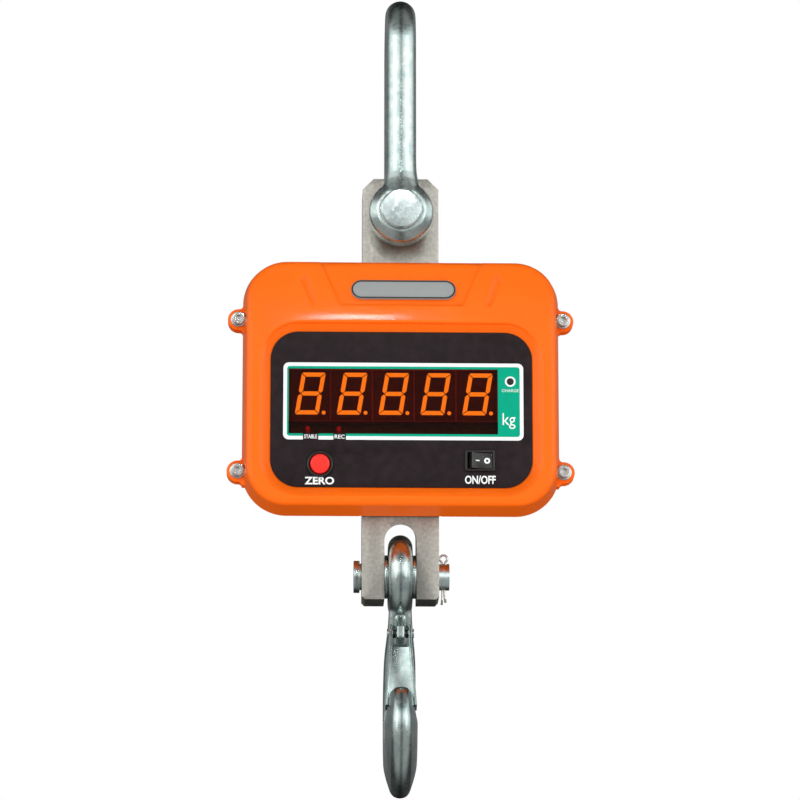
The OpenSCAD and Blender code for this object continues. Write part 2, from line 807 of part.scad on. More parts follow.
// Flat cable from the gauges' pocket to the main board, bent twice on its way
module gauge_cable() {
    half = 0.6;
    knee = -33;
    end_x = -56.2;
    board_face = board2_at.y - board2_size.y / 2;
    color([0.3, 0.3, 0.3]) translate([0, 0, gauge_z - 1.5]) linear_extrude(3)
        polygon([[-9, -half], [knee - 0.2, -half], [end_x - half, board_face - 3.5], [end_x - half, board_face],
            [end_x + half, board_face], [end_x + half, board_face - 2.8], [knee + 0.2, half], [-9, half]]);
}

module display_cable() {
    back = board_front_y + board_t;
    color([0.55, 0.55, 0.55])
        lead([[-66, back + 2.3, -300], [-66, back + 8, -305], [-62, 10, -318], [-62, 14.8, -318]], 4);
}

module charge_socket() {
    color([0.08, 0.08, 0.08]) translate([socket_at.x, 0, socket_at.z]) {
        difference() {
            union() {
                rod_y(17.6, back_d - 1.5, back_d);
                rod_y(11, back_d - 14, back_d - 1.5);
            }
            rod_y(5.6, back_d - 11, far);
        }
        rod_y(2.1, back_d - 11, back_d - 1.5);
    }
}

module socket_nut() {
    color([0.7, 0.7, 0.7]) translate([socket_at.x, inner_back_y - 2.5, socket_at.z]) difference() {
        rotate([-90, 0, 0]) cylinder(d = 16, h = 2.5, $fn = 6);
        rod_y(11 + 2 * fit, -1, 5);
    }
}

// ---------- Hook pin ----------

module hook_pin() {
    reach = bar_w / 2;
    color([0.62, 0.62, 0.6]) translate([0, 0, hook_z]) difference() {
        union() {
            rod_x(hook_pin_d, -reach - 1.5, reach + 7.6);
            rod_x(23, -reach - 5.7, -reach - 1.5);
        }
        translate([reach + 3.6, 0, -far / 2]) cylinder(d = 3.6 + 2 * fit, h = far, $fn = 32);
    }
}

module pin_spacers() {
    inner = eye_t / 2 + 0.2;
    color([0.55, 0.56, 0.55]) both_sides() translate([0, 0, hook_z]) difference() {
        rod_x(31, inner, slot_w / 2 - 0.2);
        rod_x(hook_pin_d + 2 * fit, 0, far);
    }
}

module hook_pin_cotter() {
    color([0.82, 0.8, 0.78]) translate([bar_w / 2 + 3.6, 0, hook_z]) split_pin(3.6, 10.5, 20, 7.5);
}

// ---------- Hook ----------

// Half of the hook body's section, from its inner side at u = 0 to its outer side at u = t
function section_half(w, t) = [[0, 0.3 * w], [0.04 * t, 0.42 * w], [0.14 * t, 0.5 * w], [0.32 * t, 0.5 * w],
    [0.57 * t, 0.45 * w], [0.79 * t, 0.33 * w], [0.95 * t, 0.16 * w], [t, 0.04 * w]];

module hook_section(w, t) {
    half = section_half(w, t);
    other = [for (i = [len(half) - 1 : -1 : 0]) [half[i].x, -half[i].y]];
    polygon(concat(half, other));
}

// Thin slice of the hook's back. Its inner side is at [y, z] from the hook pin's axis, and its
// outer side lies towards +Y, turned up by tilt. Inset draws it smaller all round.
module back_slice(place, inset) {
    translate([0, place[0] + inset, hook_z + place[1]]) rotate([place[2], 0, 0]) rotate([0, 0, 90])
        linear_extrude(0.2) hook_section(place[3] - 2 * inset, place[4] - 2 * inset);
}

// Thin slice of the tip, at an angle above the bowl's front and a radius from the bowl's middle
module tip_slice(place, inset) {
    translate([0, 0, bowl_z]) rotate([-place[0], 0, 0]) translate([0, -place[1] - inset, 0]) rotate([0, 0, -90])
        linear_extrude(0.2) hook_section(place[2] - 2 * inset, place[3] - 2 * inset);
}

module hook_eye() {
    bore_r = hook_pin_d / 2 + run;
    translate([0, 0, hook_z]) rotate([0, 90, 0]) rotate_extrude() {
        translate([bore_r, -eye_t / 2]) square([eye_mid_r - bore_r, eye_t]);
        intersection() {
            translate([eye_mid_r, 0]) circle(d = eye_t);
            translate([eye_mid_r, -eye_t]) square([eye_t, 2 * eye_t]);
        }
    }
}

// Plate on the neck that carries the latch's pin
module latch_boss() {
    translate([-boss_w / 2, 0, 0]) rotate([90, 0, 90]) linear_extrude(boss_w) {
        translate([latch_y, latch_z]) circle(d = 10.5);
        polygon([[latch_y - 4.4, latch_z + 2.9], [-8, hook_z - 29], [4, hook_z - 29], [6, hook_z - 48],
            [latch_y + 1, latch_z - 5.1]]);
    }
}

module hook() {
    color([0.6, 0.68, 0.7]) difference() {
        union() {
            hook_eye();
            // Bowl, from the front round the bottom to the back
            translate([0, 0, bowl_z]) rotate([90, 0, 90]) rotate([0, 0, 180]) rotate_extrude(angle = 180)
                translate([bowl_r, 0]) hook_section(hook_w, bowl_t);
            // Back and tip: each link starts just inside the one below it
            for (i = [0 : len(back_places) - 2]) hull() {
                back_slice(back_places[i], link_inset);
                back_slice(back_places[i + 1], 0);
            }
            for (i = [0 : len(tip_places) - 2]) hull() {
                tip_slice(tip_places[i], link_inset);
                tip_slice(tip_places[i + 1], 0);
            }
            latch_boss();
        }
        translate([0, 0, hook_z]) rod_x(hook_pin_d + 2 * run, -far, far);
        translate([0, latch_y, latch_z]) rod_x(latch_pin_d + 2 * fit, -far, far);
    }
}

// Pressed-steel channel, drawn straight down from its pivot and leant forwards onto the tip
module latch() {
    web_y = 2;
    web_top = -9;
    ear_top = 5;
    half_top = latch_top_w / 2;
    half_foot = latch_foot_w / 2;
    color([0.62, 0.72, 0.74]) translate([0, latch_y, latch_z]) rotate([-latch_lean, 0, 0]) difference() {
        union() {
            upright(web_y, web_y + latch_sheet) polygon([[-half_top, web_top], [half_top, web_top],
                [half_foot, -latch_len], [-half_foot, -latch_len]]);
            both_sides() upright(web_y - flange_d, web_y + latch_sheet)
                polygon([[half_top - latch_sheet, ear_top], [half_top, ear_top], [half_top, web_top],
                    [half_foot, -latch_len], [half_foot - latch_sheet, -latch_len],
                    [half_top - latch_sheet, web_top]]);
        }
        rod_x(latch_pin_d + 2 * run, -far, far);
    }
}

module latch_pin() {
    shank = latch_top_w / 2 + 0.4;
    color([0.7, 0.7, 0.7]) translate([0, latch_y, latch_z]) {
        rod_x(latch_pin_d, -shank, shank);
        both_sides() rod_x(latch_pin_d + 2.4, shank, shank + 1.4);
    }
}

// Coils of the latch's spring, on its pin at both sides of the boss
module latch_spring() {
    color([0.5, 0.5, 0.5]) translate([0, latch_y, latch_z]) both_sides() difference() {
        rod_x(6.6, boss_w / 2 + 0.3, latch_top_w / 2 - latch_sheet - 0.4);
        rod_x(latch_pin_d + 0.6, 0, far);
    }
}

shackle_bow();
shackle_pin();
shackle_nut();
shackle_cotter();
load_cell();
strain_gauges();
gauge_covers();
top_seal();
bottom_seal();
front_cover();
rear_cover();
cover_gasket();
cover_screws();
cover_washers();
name_plate();
front_panel();
display_window();
led_modules();
display_board();
board_standoffs();
board_screws();
status_lamps();
charge_lamp();
zero_button_housing();
zero_button_nut();
zero_button_cap();
power_switch_body();
power_rocker();
cell_bolts();
battery();
battery_tray();
battery_straps();
tray_screws();
battery_leads();
main_board();
main_board_parts();
main_board_screws();
gauge_cable();
display_cable();
charge_socket();
socket_nut();
hook_pin();
pin_spacers();
hook_pin_cotter();
hook();
latch();
latch_pin();
latch_spring();
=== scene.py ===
"""Looks of the crane scale: a shackle, a load-cell bar inside an orange two-part housing, and a hook.

Metres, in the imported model's frame: +Z is up, the front of the scale faces -Y, and the origin is on
the inner face of the shackle's crown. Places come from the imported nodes' boxes.
"""
import json
import math

import bmesh
import bpy
import numpy as np
from mathutils import Matrix, Vector


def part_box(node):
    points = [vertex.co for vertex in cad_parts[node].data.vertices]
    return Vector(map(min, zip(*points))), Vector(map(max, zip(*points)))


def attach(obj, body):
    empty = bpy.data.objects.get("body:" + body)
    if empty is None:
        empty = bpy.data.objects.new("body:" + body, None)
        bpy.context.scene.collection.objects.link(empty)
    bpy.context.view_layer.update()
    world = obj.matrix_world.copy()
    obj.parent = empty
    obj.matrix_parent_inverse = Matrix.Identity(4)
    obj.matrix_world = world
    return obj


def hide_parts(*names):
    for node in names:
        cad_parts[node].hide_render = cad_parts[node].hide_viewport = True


MM = 0.001
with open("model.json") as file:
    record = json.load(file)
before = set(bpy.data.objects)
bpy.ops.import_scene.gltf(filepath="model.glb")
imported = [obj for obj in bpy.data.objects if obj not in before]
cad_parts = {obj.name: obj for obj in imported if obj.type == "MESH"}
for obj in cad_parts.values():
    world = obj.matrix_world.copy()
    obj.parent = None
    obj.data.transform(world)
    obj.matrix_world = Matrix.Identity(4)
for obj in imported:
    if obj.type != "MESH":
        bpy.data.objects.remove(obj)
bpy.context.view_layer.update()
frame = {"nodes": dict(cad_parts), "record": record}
nodes = frame["nodes"]


def low(node):
    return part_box(node)[0]


def high(node):
    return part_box(node)[1]


def middle(node):
    return (low(node) + high(node)) / 2


# ---------- Places, read from the frame ----------

PIN_Z = middle("shackle_pin").z
LEG_Y = high("shackle_bow").y - 12 * MM
HOOK_Z = middle("hook_pin").z
CASE_W = high("cover_gasket").x * 2 + 2 * MM
CASE_H = high("cover_gasket").z - low("cover_gasket").z + 2 * MM
CASE_Z = middle("cover_gasket").z
CASE_TOP = CASE_Z + CASE_H / 2
CASE_R = 32 * MM
JOINT_Y = low("cover_gasket").y
RIM_Y = high("cover_gasket").y
FRONT_Y = low("front_cover").y
BACK_Y = high("rear_cover").y
PANEL_Y = low("front_panel").y
PANEL_Z = middle("front_panel").z
PANEL_W = high("front_panel").x * 2 + 0.2 * MM
PANEL_H = high("front_panel").z - low("front_panel").z + 0.2 * MM
PANEL_R = 20 * MM
POCKET_Y = high("front_panel").y
WINDOW_LOW = low("display_window")
WINDOW_HIGH = high("display_window")
WALL = 3.5 * MM


# ---------- Camera, lights and floor ----------

VIEW_AZIMUTH = math.radians(-1.5)
VIEW_ELEVATION = math.radians(-12.8)
VIEW_DISTANCE = 3.0
VIEW_TARGET = Vector((0, 0, -0.2775))
VIEW_WIDTH = 0.5773


def toward_camera(azimuth, elevation):
    """Unit vector from the target towards a camera at these angles."""
    flat = math.cos(elevation)
    return Vector((math.sin(azimuth) * flat, -math.cos(azimuth) * flat, math.sin(elevation)))


def aim(obj, target):
    obj.rotation_euler = (Vector(target) - obj.location).to_track_quat("-Z", "Y").to_euler()


def add_camera():
    data = bpy.data.cameras.new("camera")
    camera = bpy.data.objects.new("camera", data)
    bpy.context.scene.collection.objects.link(camera)
    camera.location = VIEW_TARGET + toward_camera(VIEW_AZIMUTH, VIEW_ELEVATION) * VIEW_DISTANCE
    aim(camera, VIEW_TARGET)
    data.sensor_width = 36
    data.lens = data.sensor_width * VIEW_DISTANCE / VIEW_WIDTH
    data.clip_end = 50
    bpy.context.scene.camera = camera


def add_light(name, place, target, width, height, power, colour=(1, 1, 1)):
    data = bpy.data.lights.new(name, "AREA")
    data.shape = "RECTANGLE"
    data.size = width
    data.size_y = height
    data.energy = power
    data.color = colour
    light = bpy.data.objects.new(name, data)
    bpy.context.scene.collection.objects.link(light)
    light.location = place
    aim(light, target)
    return light


def add_lights():
    centre = (0, 0, -0.28)
    add_light("left_softbox", (-1.9, -1.7, 0.15), centre, 0.9, 1.8, 7)
    add_light("right_softbox", (1.9, -1.7, 0.15), centre, 0.9, 1.8, 6.5)
    glint = add_light("crest_glint", (-0.007, -1.6, 0.62), (-0.02, -0.045, -0.228), 0.09, 0.045, 0.008)
    glint.data.spread = math.radians(12)
    top_fill = add_light("top_fill", (-0.3, -1.3, 1.5), centre, 1.0, 0.7, 7)
    under_fill = add_light("under_fill", (0, -0.9, -1.3), centre, 1.6, 1.0, 12, (1, 0.9, 0.84))
    back_fill = add_light("back_fill", (0.9, 2.2, 0.5), centre, 1.8, 1.4, 40)
    for fill in (top_fill, under_fill, back_fill):
        fill.visible_glossy = False


def studio_strength(tree):
    """A studio's light by direction: bright at both front sides, dim in the middle, above and below."""
    coord = tree.nodes.new("ShaderNodeTexCoord")
    axes = tree.nodes.new("ShaderNodeSeparateXYZ")
    tree.links.new(coord.outputs["Generated"], axes.inputs[0])

    def ramp(value, starts, ends):
        node = tree.nodes.new("ShaderNodeMapRange")
        node.interpolation_type = "SMOOTHSTEP"
        node.inputs["From Min"].default_value = starts[0]
        node.inputs["From Max"].default_value = ends[0]
        node.inputs["To Min"].default_value = starts[1]
        node.inputs["To Max"].default_value = ends[1]
        tree.links.new(value, node.inputs["Value"])
        return node.outputs["Result"]

    across = tree.nodes.new("ShaderNodeMath")
    across.operation = "ABSOLUTE"
    tree.links.new(axes.outputs["X"], across.inputs[0])
    front = ramp(axes.outputs["Y"], (-0.2, 1.5), (0.5, 0.2))
    sides = ramp(across.outputs[0], (0.03, 0.35), (0.32, 1.15))
    ceiling = ramp(axes.outputs["Z"], (0.4, 1.0), (0.68, 0.16))
    ground = ramp(axes.outputs["Z"], (-0.12, 0.25), (0.16, 1.0))
    strength = front
    for factor in (sides, ceiling, ground):
        product = tree.nodes.new("ShaderNodeMath")
        product.operation = "MULTIPLY"
        tree.links.new(strength, product.inputs[0])
        tree.links.new(factor, product.inputs[1])
        strength = product.outputs[0]
    return strength


def add_world():
    """White to the camera, and a studio for everything else."""
    world = bpy.data.worlds.new("studio")
    bpy.context.scene.world = world
    world.use_nodes = True
    tree = world.node_tree
    tree.nodes.clear()
    studio = tree.nodes.new("ShaderNodeBackground")
    tree.links.new(studio_strength(tree), studio.inputs["Strength"])
    white = tree.nodes.new("ShaderNodeBackground")
    rays = tree.nodes.new("ShaderNodeLightPath")
    mix = tree.nodes.new("ShaderNodeMixShader")
    output = tree.nodes.new("ShaderNodeOutputWorld")
    tree.links.new(rays.outputs["Is Camera Ray"], mix.inputs["Fac"])
    tree.links.new(studio.outputs[0], mix.inputs[1])
    tree.links.new(white.outputs[0], mix.inputs[2])
    tree.links.new(mix.outputs[0], output.inputs["Surface"])
    for background in (studio, white):
        background.inputs["Color"].default_value = (1, 1, 1, 1)


def add_floor():
    """A pale floor for the camera only: the world's dim ground is what the metal reflects."""
    half = 14
    level = -1.6
    corners = [(-half, -half, level), (half, -half, level), (half, half, level), (-half, half, level)]
    mesh = bpy.data.meshes.new("floor")
    mesh.from_pydata(corners, [], [(0, 1, 2, 3)])
    floor = bpy.data.objects.new("floor", mesh)
    bpy.context.scene.collection.objects.link(floor)
    mesh.materials.append(finish("floor_pale", (0.78, 0.78, 0.77), roughness=0.7, spread=0.02, patch=0.5))
    floor.visible_glossy = False
    floor.visible_diffuse = False


# ---------- Materials ----------

def shade(colour, factor):
    return tuple(min(1.0, channel * factor) for channel in colour) + (1.0,)


def finish(name, colour, metallic=0.0, roughness=0.4, spread=0.06, patch=20 * MM, rough_spread=0.06,
           grain=0.5 * MM, bump=0.1, coat=0.0, stretch=(1, 1, 1), glow=0.0, clear=0.0, tint=None,
           specular=0.5, ior=1.5):
    """A node material: a base colour that drifts, a roughness that drifts, and a fine bump."""
    material = bpy.data.materials.new(name)
    material.use_nodes = True
    tree = material.node_tree
    shader = tree.nodes["Principled BSDF"]
    coord = tree.nodes.new("ShaderNodeTexCoord")
    mapping = tree.nodes.new("ShaderNodeMapping")
    mapping.inputs["Scale"].default_value = stretch
    tree.links.new(coord.outputs["Object"], mapping.inputs["Vector"])

    def noise(size, detail):
        node = tree.nodes.new("ShaderNodeTexNoise")
        node.inputs["Scale"].default_value = 1 / size
        node.inputs["Detail"].default_value = detail
        tree.links.new(mapping.outputs["Vector"], node.inputs["Vector"])
        return node.outputs["Fac"]

    def spread_out(value, start, end):
        node = tree.nodes.new("ShaderNodeMapRange")
        node.inputs["From Min"].default_value = 0.3
        node.inputs["From Max"].default_value = 0.7
        node.inputs["To Min"].default_value = start
        node.inputs["To Max"].default_value = end
        tree.links.new(value, node.inputs["Value"])
        return node.outputs["Result"]

    mix = tree.nodes.new("ShaderNodeMix")
    mix.data_type = "RGBA"
    mix.inputs[6].default_value = shade(colour, 1 - spread)
    mix.inputs[7].default_value = shade(tint or colour, 1 + spread)
    tree.links.new(spread_out(noise(patch, 5), 0, 1), mix.inputs[0])
    tree.links.new(mix.outputs[2], shader.inputs["Base Color"])
    rough = spread_out(noise(patch * 0.37, 6), roughness - rough_spread, roughness + rough_spread)
    tree.links.new(rough, shader.inputs["Roughness"])
    bumps = tree.nodes.new("ShaderNodeBump")
    bumps.inputs["Strength"].default_value = bump
    bumps.inputs["Distance"].default_value = grain * 0.3
    tree.links.new(noise(grain, 3), bumps.inputs["Height"])
    tree.links.new(bumps.outputs["Normal"], shader.inputs["Normal"])
    shader.inputs["Metallic"].default_value = metallic
    shader.inputs["Specular IOR Level"].default_value = specular
    shader.inputs["IOR"].default_value = ior
    shader.inputs["Coat Weight"].default_value = coat
    shader.inputs["Coat Roughness"].default_value = 0.08
    shader.inputs["Transmission Weight"].default_value = clear
    if glow:
        tree.links.new(mix.outputs[2], shader.inputs["Emission Color"])
        shader.inputs["Emission Strength"].default_value = glow
    return material


def make_materials():
    """One material for each finish of the record, under the finish's own name, and the printed inks."""
    zinc = dict(metallic=1.0, roughness=0.25, spread=0.12, rough_spread=0.1, patch=9 * MM)
    orange = dict(roughness=0.34, spread=0.025, patch=30 * MM, rough_spread=0.05,
                  grain=1.4 * MM, bump=0.05, coat=0.14, specular=0.12)
    plastic = dict(roughness=0.42, spread=0.15, patch=6 * MM, grain=0.3 * MM, bump=0.15)
    recipes = {
        "zinc_steel": dict(zinc, colour=(0.42, 0.54, 0.53), tint=(0.51, 0.58, 0.55), grain=0.9 * MM),
        "pin_steel": dict(zinc, colour=(0.64, 0.74, 0.73), roughness=0.26),
        "cotter_steel": dict(zinc, colour=(0.66, 0.64, 0.6), patch=3 * MM),
        "cell_steel": dict(zinc, colour=(0.46, 0.46, 0.41), roughness=0.45, patch=2.5 * MM,
                           grain=0.35 * MM, bump=0.35, tint=(0.53, 0.51, 0.46)),
        "orange_paint": dict(orange, colour=(0.97, 0.15, 0.006)),
        "black_rubber": dict(plastic, colour=(0.02, 0.02, 0.02), roughness=0.7),
        "screw_steel": dict(zinc, colour=(0.62, 0.61, 0.58), roughness=0.24, patch=3 * MM),
        "black_oxide": dict(zinc, colour=(0.06, 0.06, 0.065), roughness=0.4, patch=4 * MM),
        "panel_black": dict(plastic, colour=(0.011, 0.006, 0.0075), tint=(0.015, 0.009, 0.011),
                            roughness=0.5, grain=0.8 * MM, bump=0.2, specular=0.2),
        "window_red": dict(colour=(0.66, 0.16, 0.05), ior=1.2, roughness=0.06, rough_spread=0.02, spread=0.03,
                           patch=40 * MM, grain=5 * MM, bump=0.01, clear=1.0),
        "plate_grey": dict(zinc, colour=(0.29, 0.31, 0.31), metallic=0.0, roughness=0.5, spread=0.05,
                           stretch=(0.15, 1, 1), grain=0.4 * MM, bump=0.2),
        "module_dark": dict(plastic, colour=(0.03, 0.012, 0.01), roughness=0.5),
        "circuit_board": dict(plastic, colour=(0.01, 0.09, 0.03), tint=(0.015, 0.14, 0.05),
                              patch=2 * MM, coat=0.4),
        "brass": dict(zinc, colour=(0.7, 0.5, 0.2), patch=4 * MM),
        "gauge_foil": dict(zinc, colour=(0.6, 0.35, 0.12), patch=1 * MM),
        "lamp_red": dict(plastic, colour=(0.45, 0.02, 0.015), roughness=0.15, glow=0.4),
        "lamp_dark": dict(plastic, colour=(0.012, 0.01, 0.01), roughness=0.15),
        "black_plastic": dict(plastic, colour=(0.014, 0.012, 0.012)),
        "rocker_black": dict(plastic, colour=(0.012, 0.011, 0.011), roughness=0.3),
        "button_red": dict(plastic, colour=(0.95, 0.03, 0.02), spread=0.05, roughness=0.3, specular=0.3),
        "battery_case": dict(plastic, colour=(0.04, 0.045, 0.055)),
        "tray_steel": dict(zinc, colour=(0.55, 0.55, 0.52), roughness=0.38),
        "strap_black": dict(plastic, colour=(0.03, 0.03, 0.03), roughness=0.8, grain=0.6 * MM, bump=0.5),
        "lead_rubber": dict(plastic, colour=(0.03, 0.028, 0.028), roughness=0.55),
        "white_ink": dict(plastic, colour=(0.85, 0.92, 0.92), spread=0.03, roughness=0.5, specular=0.2),
        "green_ink": dict(plastic, colour=(0.0, 0.36, 0.22), spread=0.04, roughness=0.5, specular=0.1),
        # The module rims get a painted glow: a faint emission that makes their edges show as dull red lines
        # behind the window, though they are no lamps.
        "painted_glow_module_rim": dict(plastic, colour=(0.16, 0.03, 0.015), roughness=0.5, glow=0.35),
        "lit_segment": dict(plastic, colour=(0.85, 0.85, 0.1), spread=0.05, patch=2 * MM, glow=1.2),
    }
    return {name: finish(name, **recipe) for name, recipe in recipes.items()}


MATERIALS = make_materials()


# ---------- Mesh tools ----------


def piece(name, mesh, material, body, *replaced, smooth_angle=None):
    """Makes an object of a mesh, gives it its finish, and lets it ride on a body."""
    obj = bpy.data.objects.new(name, mesh)
    bpy.context.scene.collection.objects.link(obj)
    mesh.materials.clear()
    mesh.materials.append(MATERIALS[material])
    mesh.shade_smooth()
    if smooth_angle:
        mesh.set_sharp_from_angle(angle=math.radians(smooth_angle))
    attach(obj, body)
    if replaced:
        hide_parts(*replaced)
    return obj


def clean(mesh):
    """Merges doubled points and turns every face outwards."""
    shape = bmesh.new()
    shape.from_mesh(mesh)
    bmesh.ops.remove_doubles(shape, verts=shape.verts, dist=1e-7)
    bmesh.ops.recalc_face_normals(shape, faces=shape.faces)
    shape.to_mesh(mesh)
    shape.free()


def mesh_of(name, points, faces):
    mesh = bpy.data.meshes.new(name)
    mesh.from_pydata([tuple(p) for p in points], [], faces)
    clean(mesh)
    return mesh


def loft(rings, cap=True, ring_closed=True, loop=False):
    """Points and faces of a surface through rings of equal length."""
    count = len(rings[0])
    points = [p for ring in rings for p in ring]
    faces = []
    last = len(rings) if loop else len(rings) - 1
    around = count if ring_closed else count - 1
    for i in range(last):
        a = i * count
        b = ((i + 1) % len(rings)) * count
        for k in range(around):
            m = (k + 1) % count
            faces.append((a + k, a + m, b + m, b + k))
    if cap:
        faces.append(tuple(range(count)))
        faces.append(tuple(range(len(points) - count, len(points))))
    return points, faces


def join(parts):
    """One set of points and faces of several."""
    points, faces = [], []
    for part_points, part_faces in parts:
        start = len(points)
        points += list(part_points)
        faces += [tuple(start + i for i in face) for face in part_faces]
    return points, faces


def revolve(profile, count=64):
    """A closed ring or plug about +Y, from (radius, y) points; radius 0 ends close it."""
    rings = []
    for radius, y in profile:
        ring = []
        for k in range(count):
            a = 2 * math.pi * k / count
            ring.append(Vector((radius * math.cos(a), y, radius * math.sin(a))))
        rings.append(ring)
    return loft(rings)


def placed(part, matrix):
    points, faces = part
    return [matrix @ Vector(p) for p in points], faces


def sweep(path, radius, count=16, cap=True):
    """A round tube along a path. Radius is a number, or one for each point."""
    path = [Vector(p) for p in path]
    radii = radius if isinstance(radius, list) else [radius] * len(path)
    tangents = []
    for i in range(len(path)):
        tangents.append((path[min(i + 1, len(path) - 1)] - path[max(i - 1, 0)]).normalized())
    side = tangents[0].orthogonal().normalized()
    rings = []
    for i, tangent in enumerate(tangents):
        side = (side - tangent * side.dot(tangent)).normalized()
        other = tangent.cross(side)
        ring = []
        for k in range(count):
            a = 2 * math.pi * k / count
            ring.append(path[i] + (side * math.cos(a) + other * math.sin(a)) * radii[i])
        rings.append(ring)
    return loft(rings, cap)


def block(x0, x1, y0, y1, z0, z1):
    corners = [(x, y, z) for x in (x0, x1) for y in (y0, y1) for z in (z0, z1)]
    faces = [(0, 1, 3, 2), (4, 6, 7, 5), (0, 4, 5, 1), (2, 3, 7, 6), (0, 2, 6, 4), (1, 5, 7, 3)]
    return corners, faces


def prism(outline, y0, y1):
    """A flat outline of (x, z) points, made solid between two depths."""
    front = [Vector((x, y0, z)) for x, z in outline]
    back = [Vector((x, y1, z)) for x, z in outline]
    return loft([front, back])


def rod(axis, radius, start, end, place=(0, 0, 0), count=64):
    """A plain round bar along X or Y; used to cut holes."""
    part = revolve([(radius, start), (radius, end)], count)
    turn = Matrix.Rotation(math.radians(-90), 4, "Z") if axis == "X" else Matrix.Identity(4)
    return placed(part, Matrix.Translation(Vector(place)) @ turn)


def with_modifiers(name, mesh, add):
    """The mesh that results from modifiers, which add puts on a passing object."""
    passing = bpy.data.objects.new(name + "_passing", mesh)
    bpy.context.scene.collection.objects.link(passing)
    helpers = add(passing) or []
    bpy.context.view_layer.update()
    graph = bpy.context.evaluated_depsgraph_get()
    result = bpy.data.meshes.new_from_object(passing.evaluated_get(graph))
    result.name = name
    for helper in helpers + [passing]:
        bpy.data.objects.remove(helper)
    return result


def cut(name, mesh, cutters):
    """The mesh with every cutter taken out of it."""
    def add(passing):
        tool = bpy.data.objects.new(name + "_cutter", mesh_of("cutter", *join(cutters)))
        bpy.context.scene.collection.objects.link(tool)
        modifier = passing.modifiers.new("cut", "BOOLEAN")
        modifier.operation = "DIFFERENCE"
        modifier.solver = "EXACT"
        modifier.object = tool
        return [tool]
    return with_modifiers(name, mesh, add)


def forged(name, parts, voxel, smoothing):
    """Overlapping solids melted into one, with the soft junctions of a forging."""
    def add(passing):
        remesh = passing.modifiers.new("melt", "REMESH")
        remesh.mode = "VOXEL"
        remesh.voxel_size = voxel
        smooth = passing.modifiers.new("smooth", "SMOOTH")
        smooth.factor = 0.5
        smooth.iterations = smoothing
    return with_modifiers(name, mesh_of(name, *join(parts)), add)


def bevelled(name, mesh, width, segments=3, angle=35):
    def add(passing):
        add_bevel(passing, width, segments, angle)
    return with_modifiers(name, mesh, add)


def add_bevel(obj, width, segments=3, angle=35):
    weld = obj.modifiers.new("weld", "WELD")
    weld.merge_threshold = 1e-6
    bevel = obj.modifiers.new("bevel", "BEVEL")
    bevel.width = width
    bevel.segments = segments
    bevel.limit_method = "ANGLE"
    bevel.angle_limit = math.radians(angle)
    bevel.harden_normals = True


def smoothstep(value):
    t = np.clip(value, 0, 1)
    return t * t * (3 - 2 * t)


def smooth_max(a, b, width):
    """The greater of two heights, with the crease between them rounded over width."""
    h = np.clip(0.5 + 0.5 * (a - b) / width, 0, 1)
    return b + (a - b) * h + width * h * (1 - h)


def distance_to_outline(x, z, outline):
    """Distance of points from a closed outline, negative inside it."""
    best = np.full(x.shape, 1e9)
    inside = np.zeros(x.shape, bool)
    for (ax, az), (bx, bz) in zip(outline, outline[1:] + outline[:1]):
        ex, ez = bx - ax, bz - az
        t = np.clip(((x - ax) * ex + (z - az) * ez) / (ex * ex + ez * ez), 0, 1)
        best = np.minimum(best, np.hypot(x - ax - t * ex, z - az - t * ez))
        crosses = (az > z) != (bz > z)
        slope = (z - az) * ex / np.where(ez == 0, 1, ez) + ax
        inside ^= crosses & (x < slope)
    return np.where(inside, -best, best)


# ---------- Housing ----------

EDGE_R = 5 * MM
DRAFT = 2.7 * MM
CREST_WIDTH = 9 * MM
POCKET_BEVEL = 6.5 * MM
SLOPE_FOOT_Z = CASE_TOP - 47 * MM
SLOPE_TOP_Y = FRONT_Y + 12 * MM
SLOPE_RISE = (SLOPE_TOP_Y - FRONT_Y) / (CASE_TOP - SLOPE_FOOT_Z)
SLOPE_LEAN = math.atan(SLOPE_RISE)
SLOPE_MID_Z = (SLOPE_FOOT_Z + CASE_TOP) / 2
REAR_TAPER = 13 * MM
OUTLINE_STEPS = {"top": 230, "side": 70, "foot": 110, "corner": 34}


def case_outline(width, height, radius, middle_z):
    """X and Z of a rounded rectangle, clockwise from its top left, always with the same steps."""
    x = width / 2 - radius
    z = height / 2 - radius
    top, side = OUTLINE_STEPS["top"], OUTLINE_STEPS["side"]
    foot, corner = OUTLINE_STEPS["foot"], OUTLINE_STEPS["corner"]
    points = []

    def straight(start, end, count):
        for k in range(count):
            t = k / count
            points.append((start[0] + (end[0] - start[0]) * t, start[1] + (end[1] - start[1]) * t))

    def turn(centre_x, centre_z, start_angle):
        for k in range(corner):
            a = math.radians(start_angle - 90 * k / corner)
            points.append((centre_x + radius * math.cos(a), centre_z + radius * math.sin(a)))

    straight((-x, height / 2), (x, height / 2), top)
    turn(x, z, 90)
    straight((width / 2, z), (width / 2, -z), side)
    turn(x, -z, 0)
    straight((x, -height / 2), (-x, -height / 2), foot)
    turn(-x, -z, -90)
    straight((-width / 2, -z), (-width / 2, z), side)
    turn(-x, z, 180)
    outline = np.array(points)
    outline[:, 1] += middle_z
    return outline


def case_ring(inset):
    radius = max(CASE_R - inset, 4 * MM)
    return case_outline(CASE_W - 2 * inset, CASE_H - 2 * inset, radius, CASE_Z)


def panel_ring(grow):
    return case_outline(PANEL_W + 2 * grow, PANEL_H + 2 * grow, PANEL_R + grow, PANEL_Z)


def window_ring(grow):
    width = WINDOW_HIGH.x - WINDOW_LOW.x + 2 * grow
    height = WINDOW_HIGH.z - WINDOW_LOW.z + 2 * grow
    outline = case_outline(width, height, 0.5 * MM, (WINDOW_HIGH.z + WINDOW_LOW.z) / 2)
    outline[:, 0] += (WINDOW_HIGH.x + WINDOW_LOW.x) / 2
    return outline


def plain_front(x, z):
    """Y of the housing's front: flat, and sloping back above the crest."""
    slope = FRONT_Y + (z - SLOPE_FOOT_Z) * SLOPE_RISE
    return smooth_max(np.full(x.shape, FRONT_Y), slope, CREST_WIDTH)


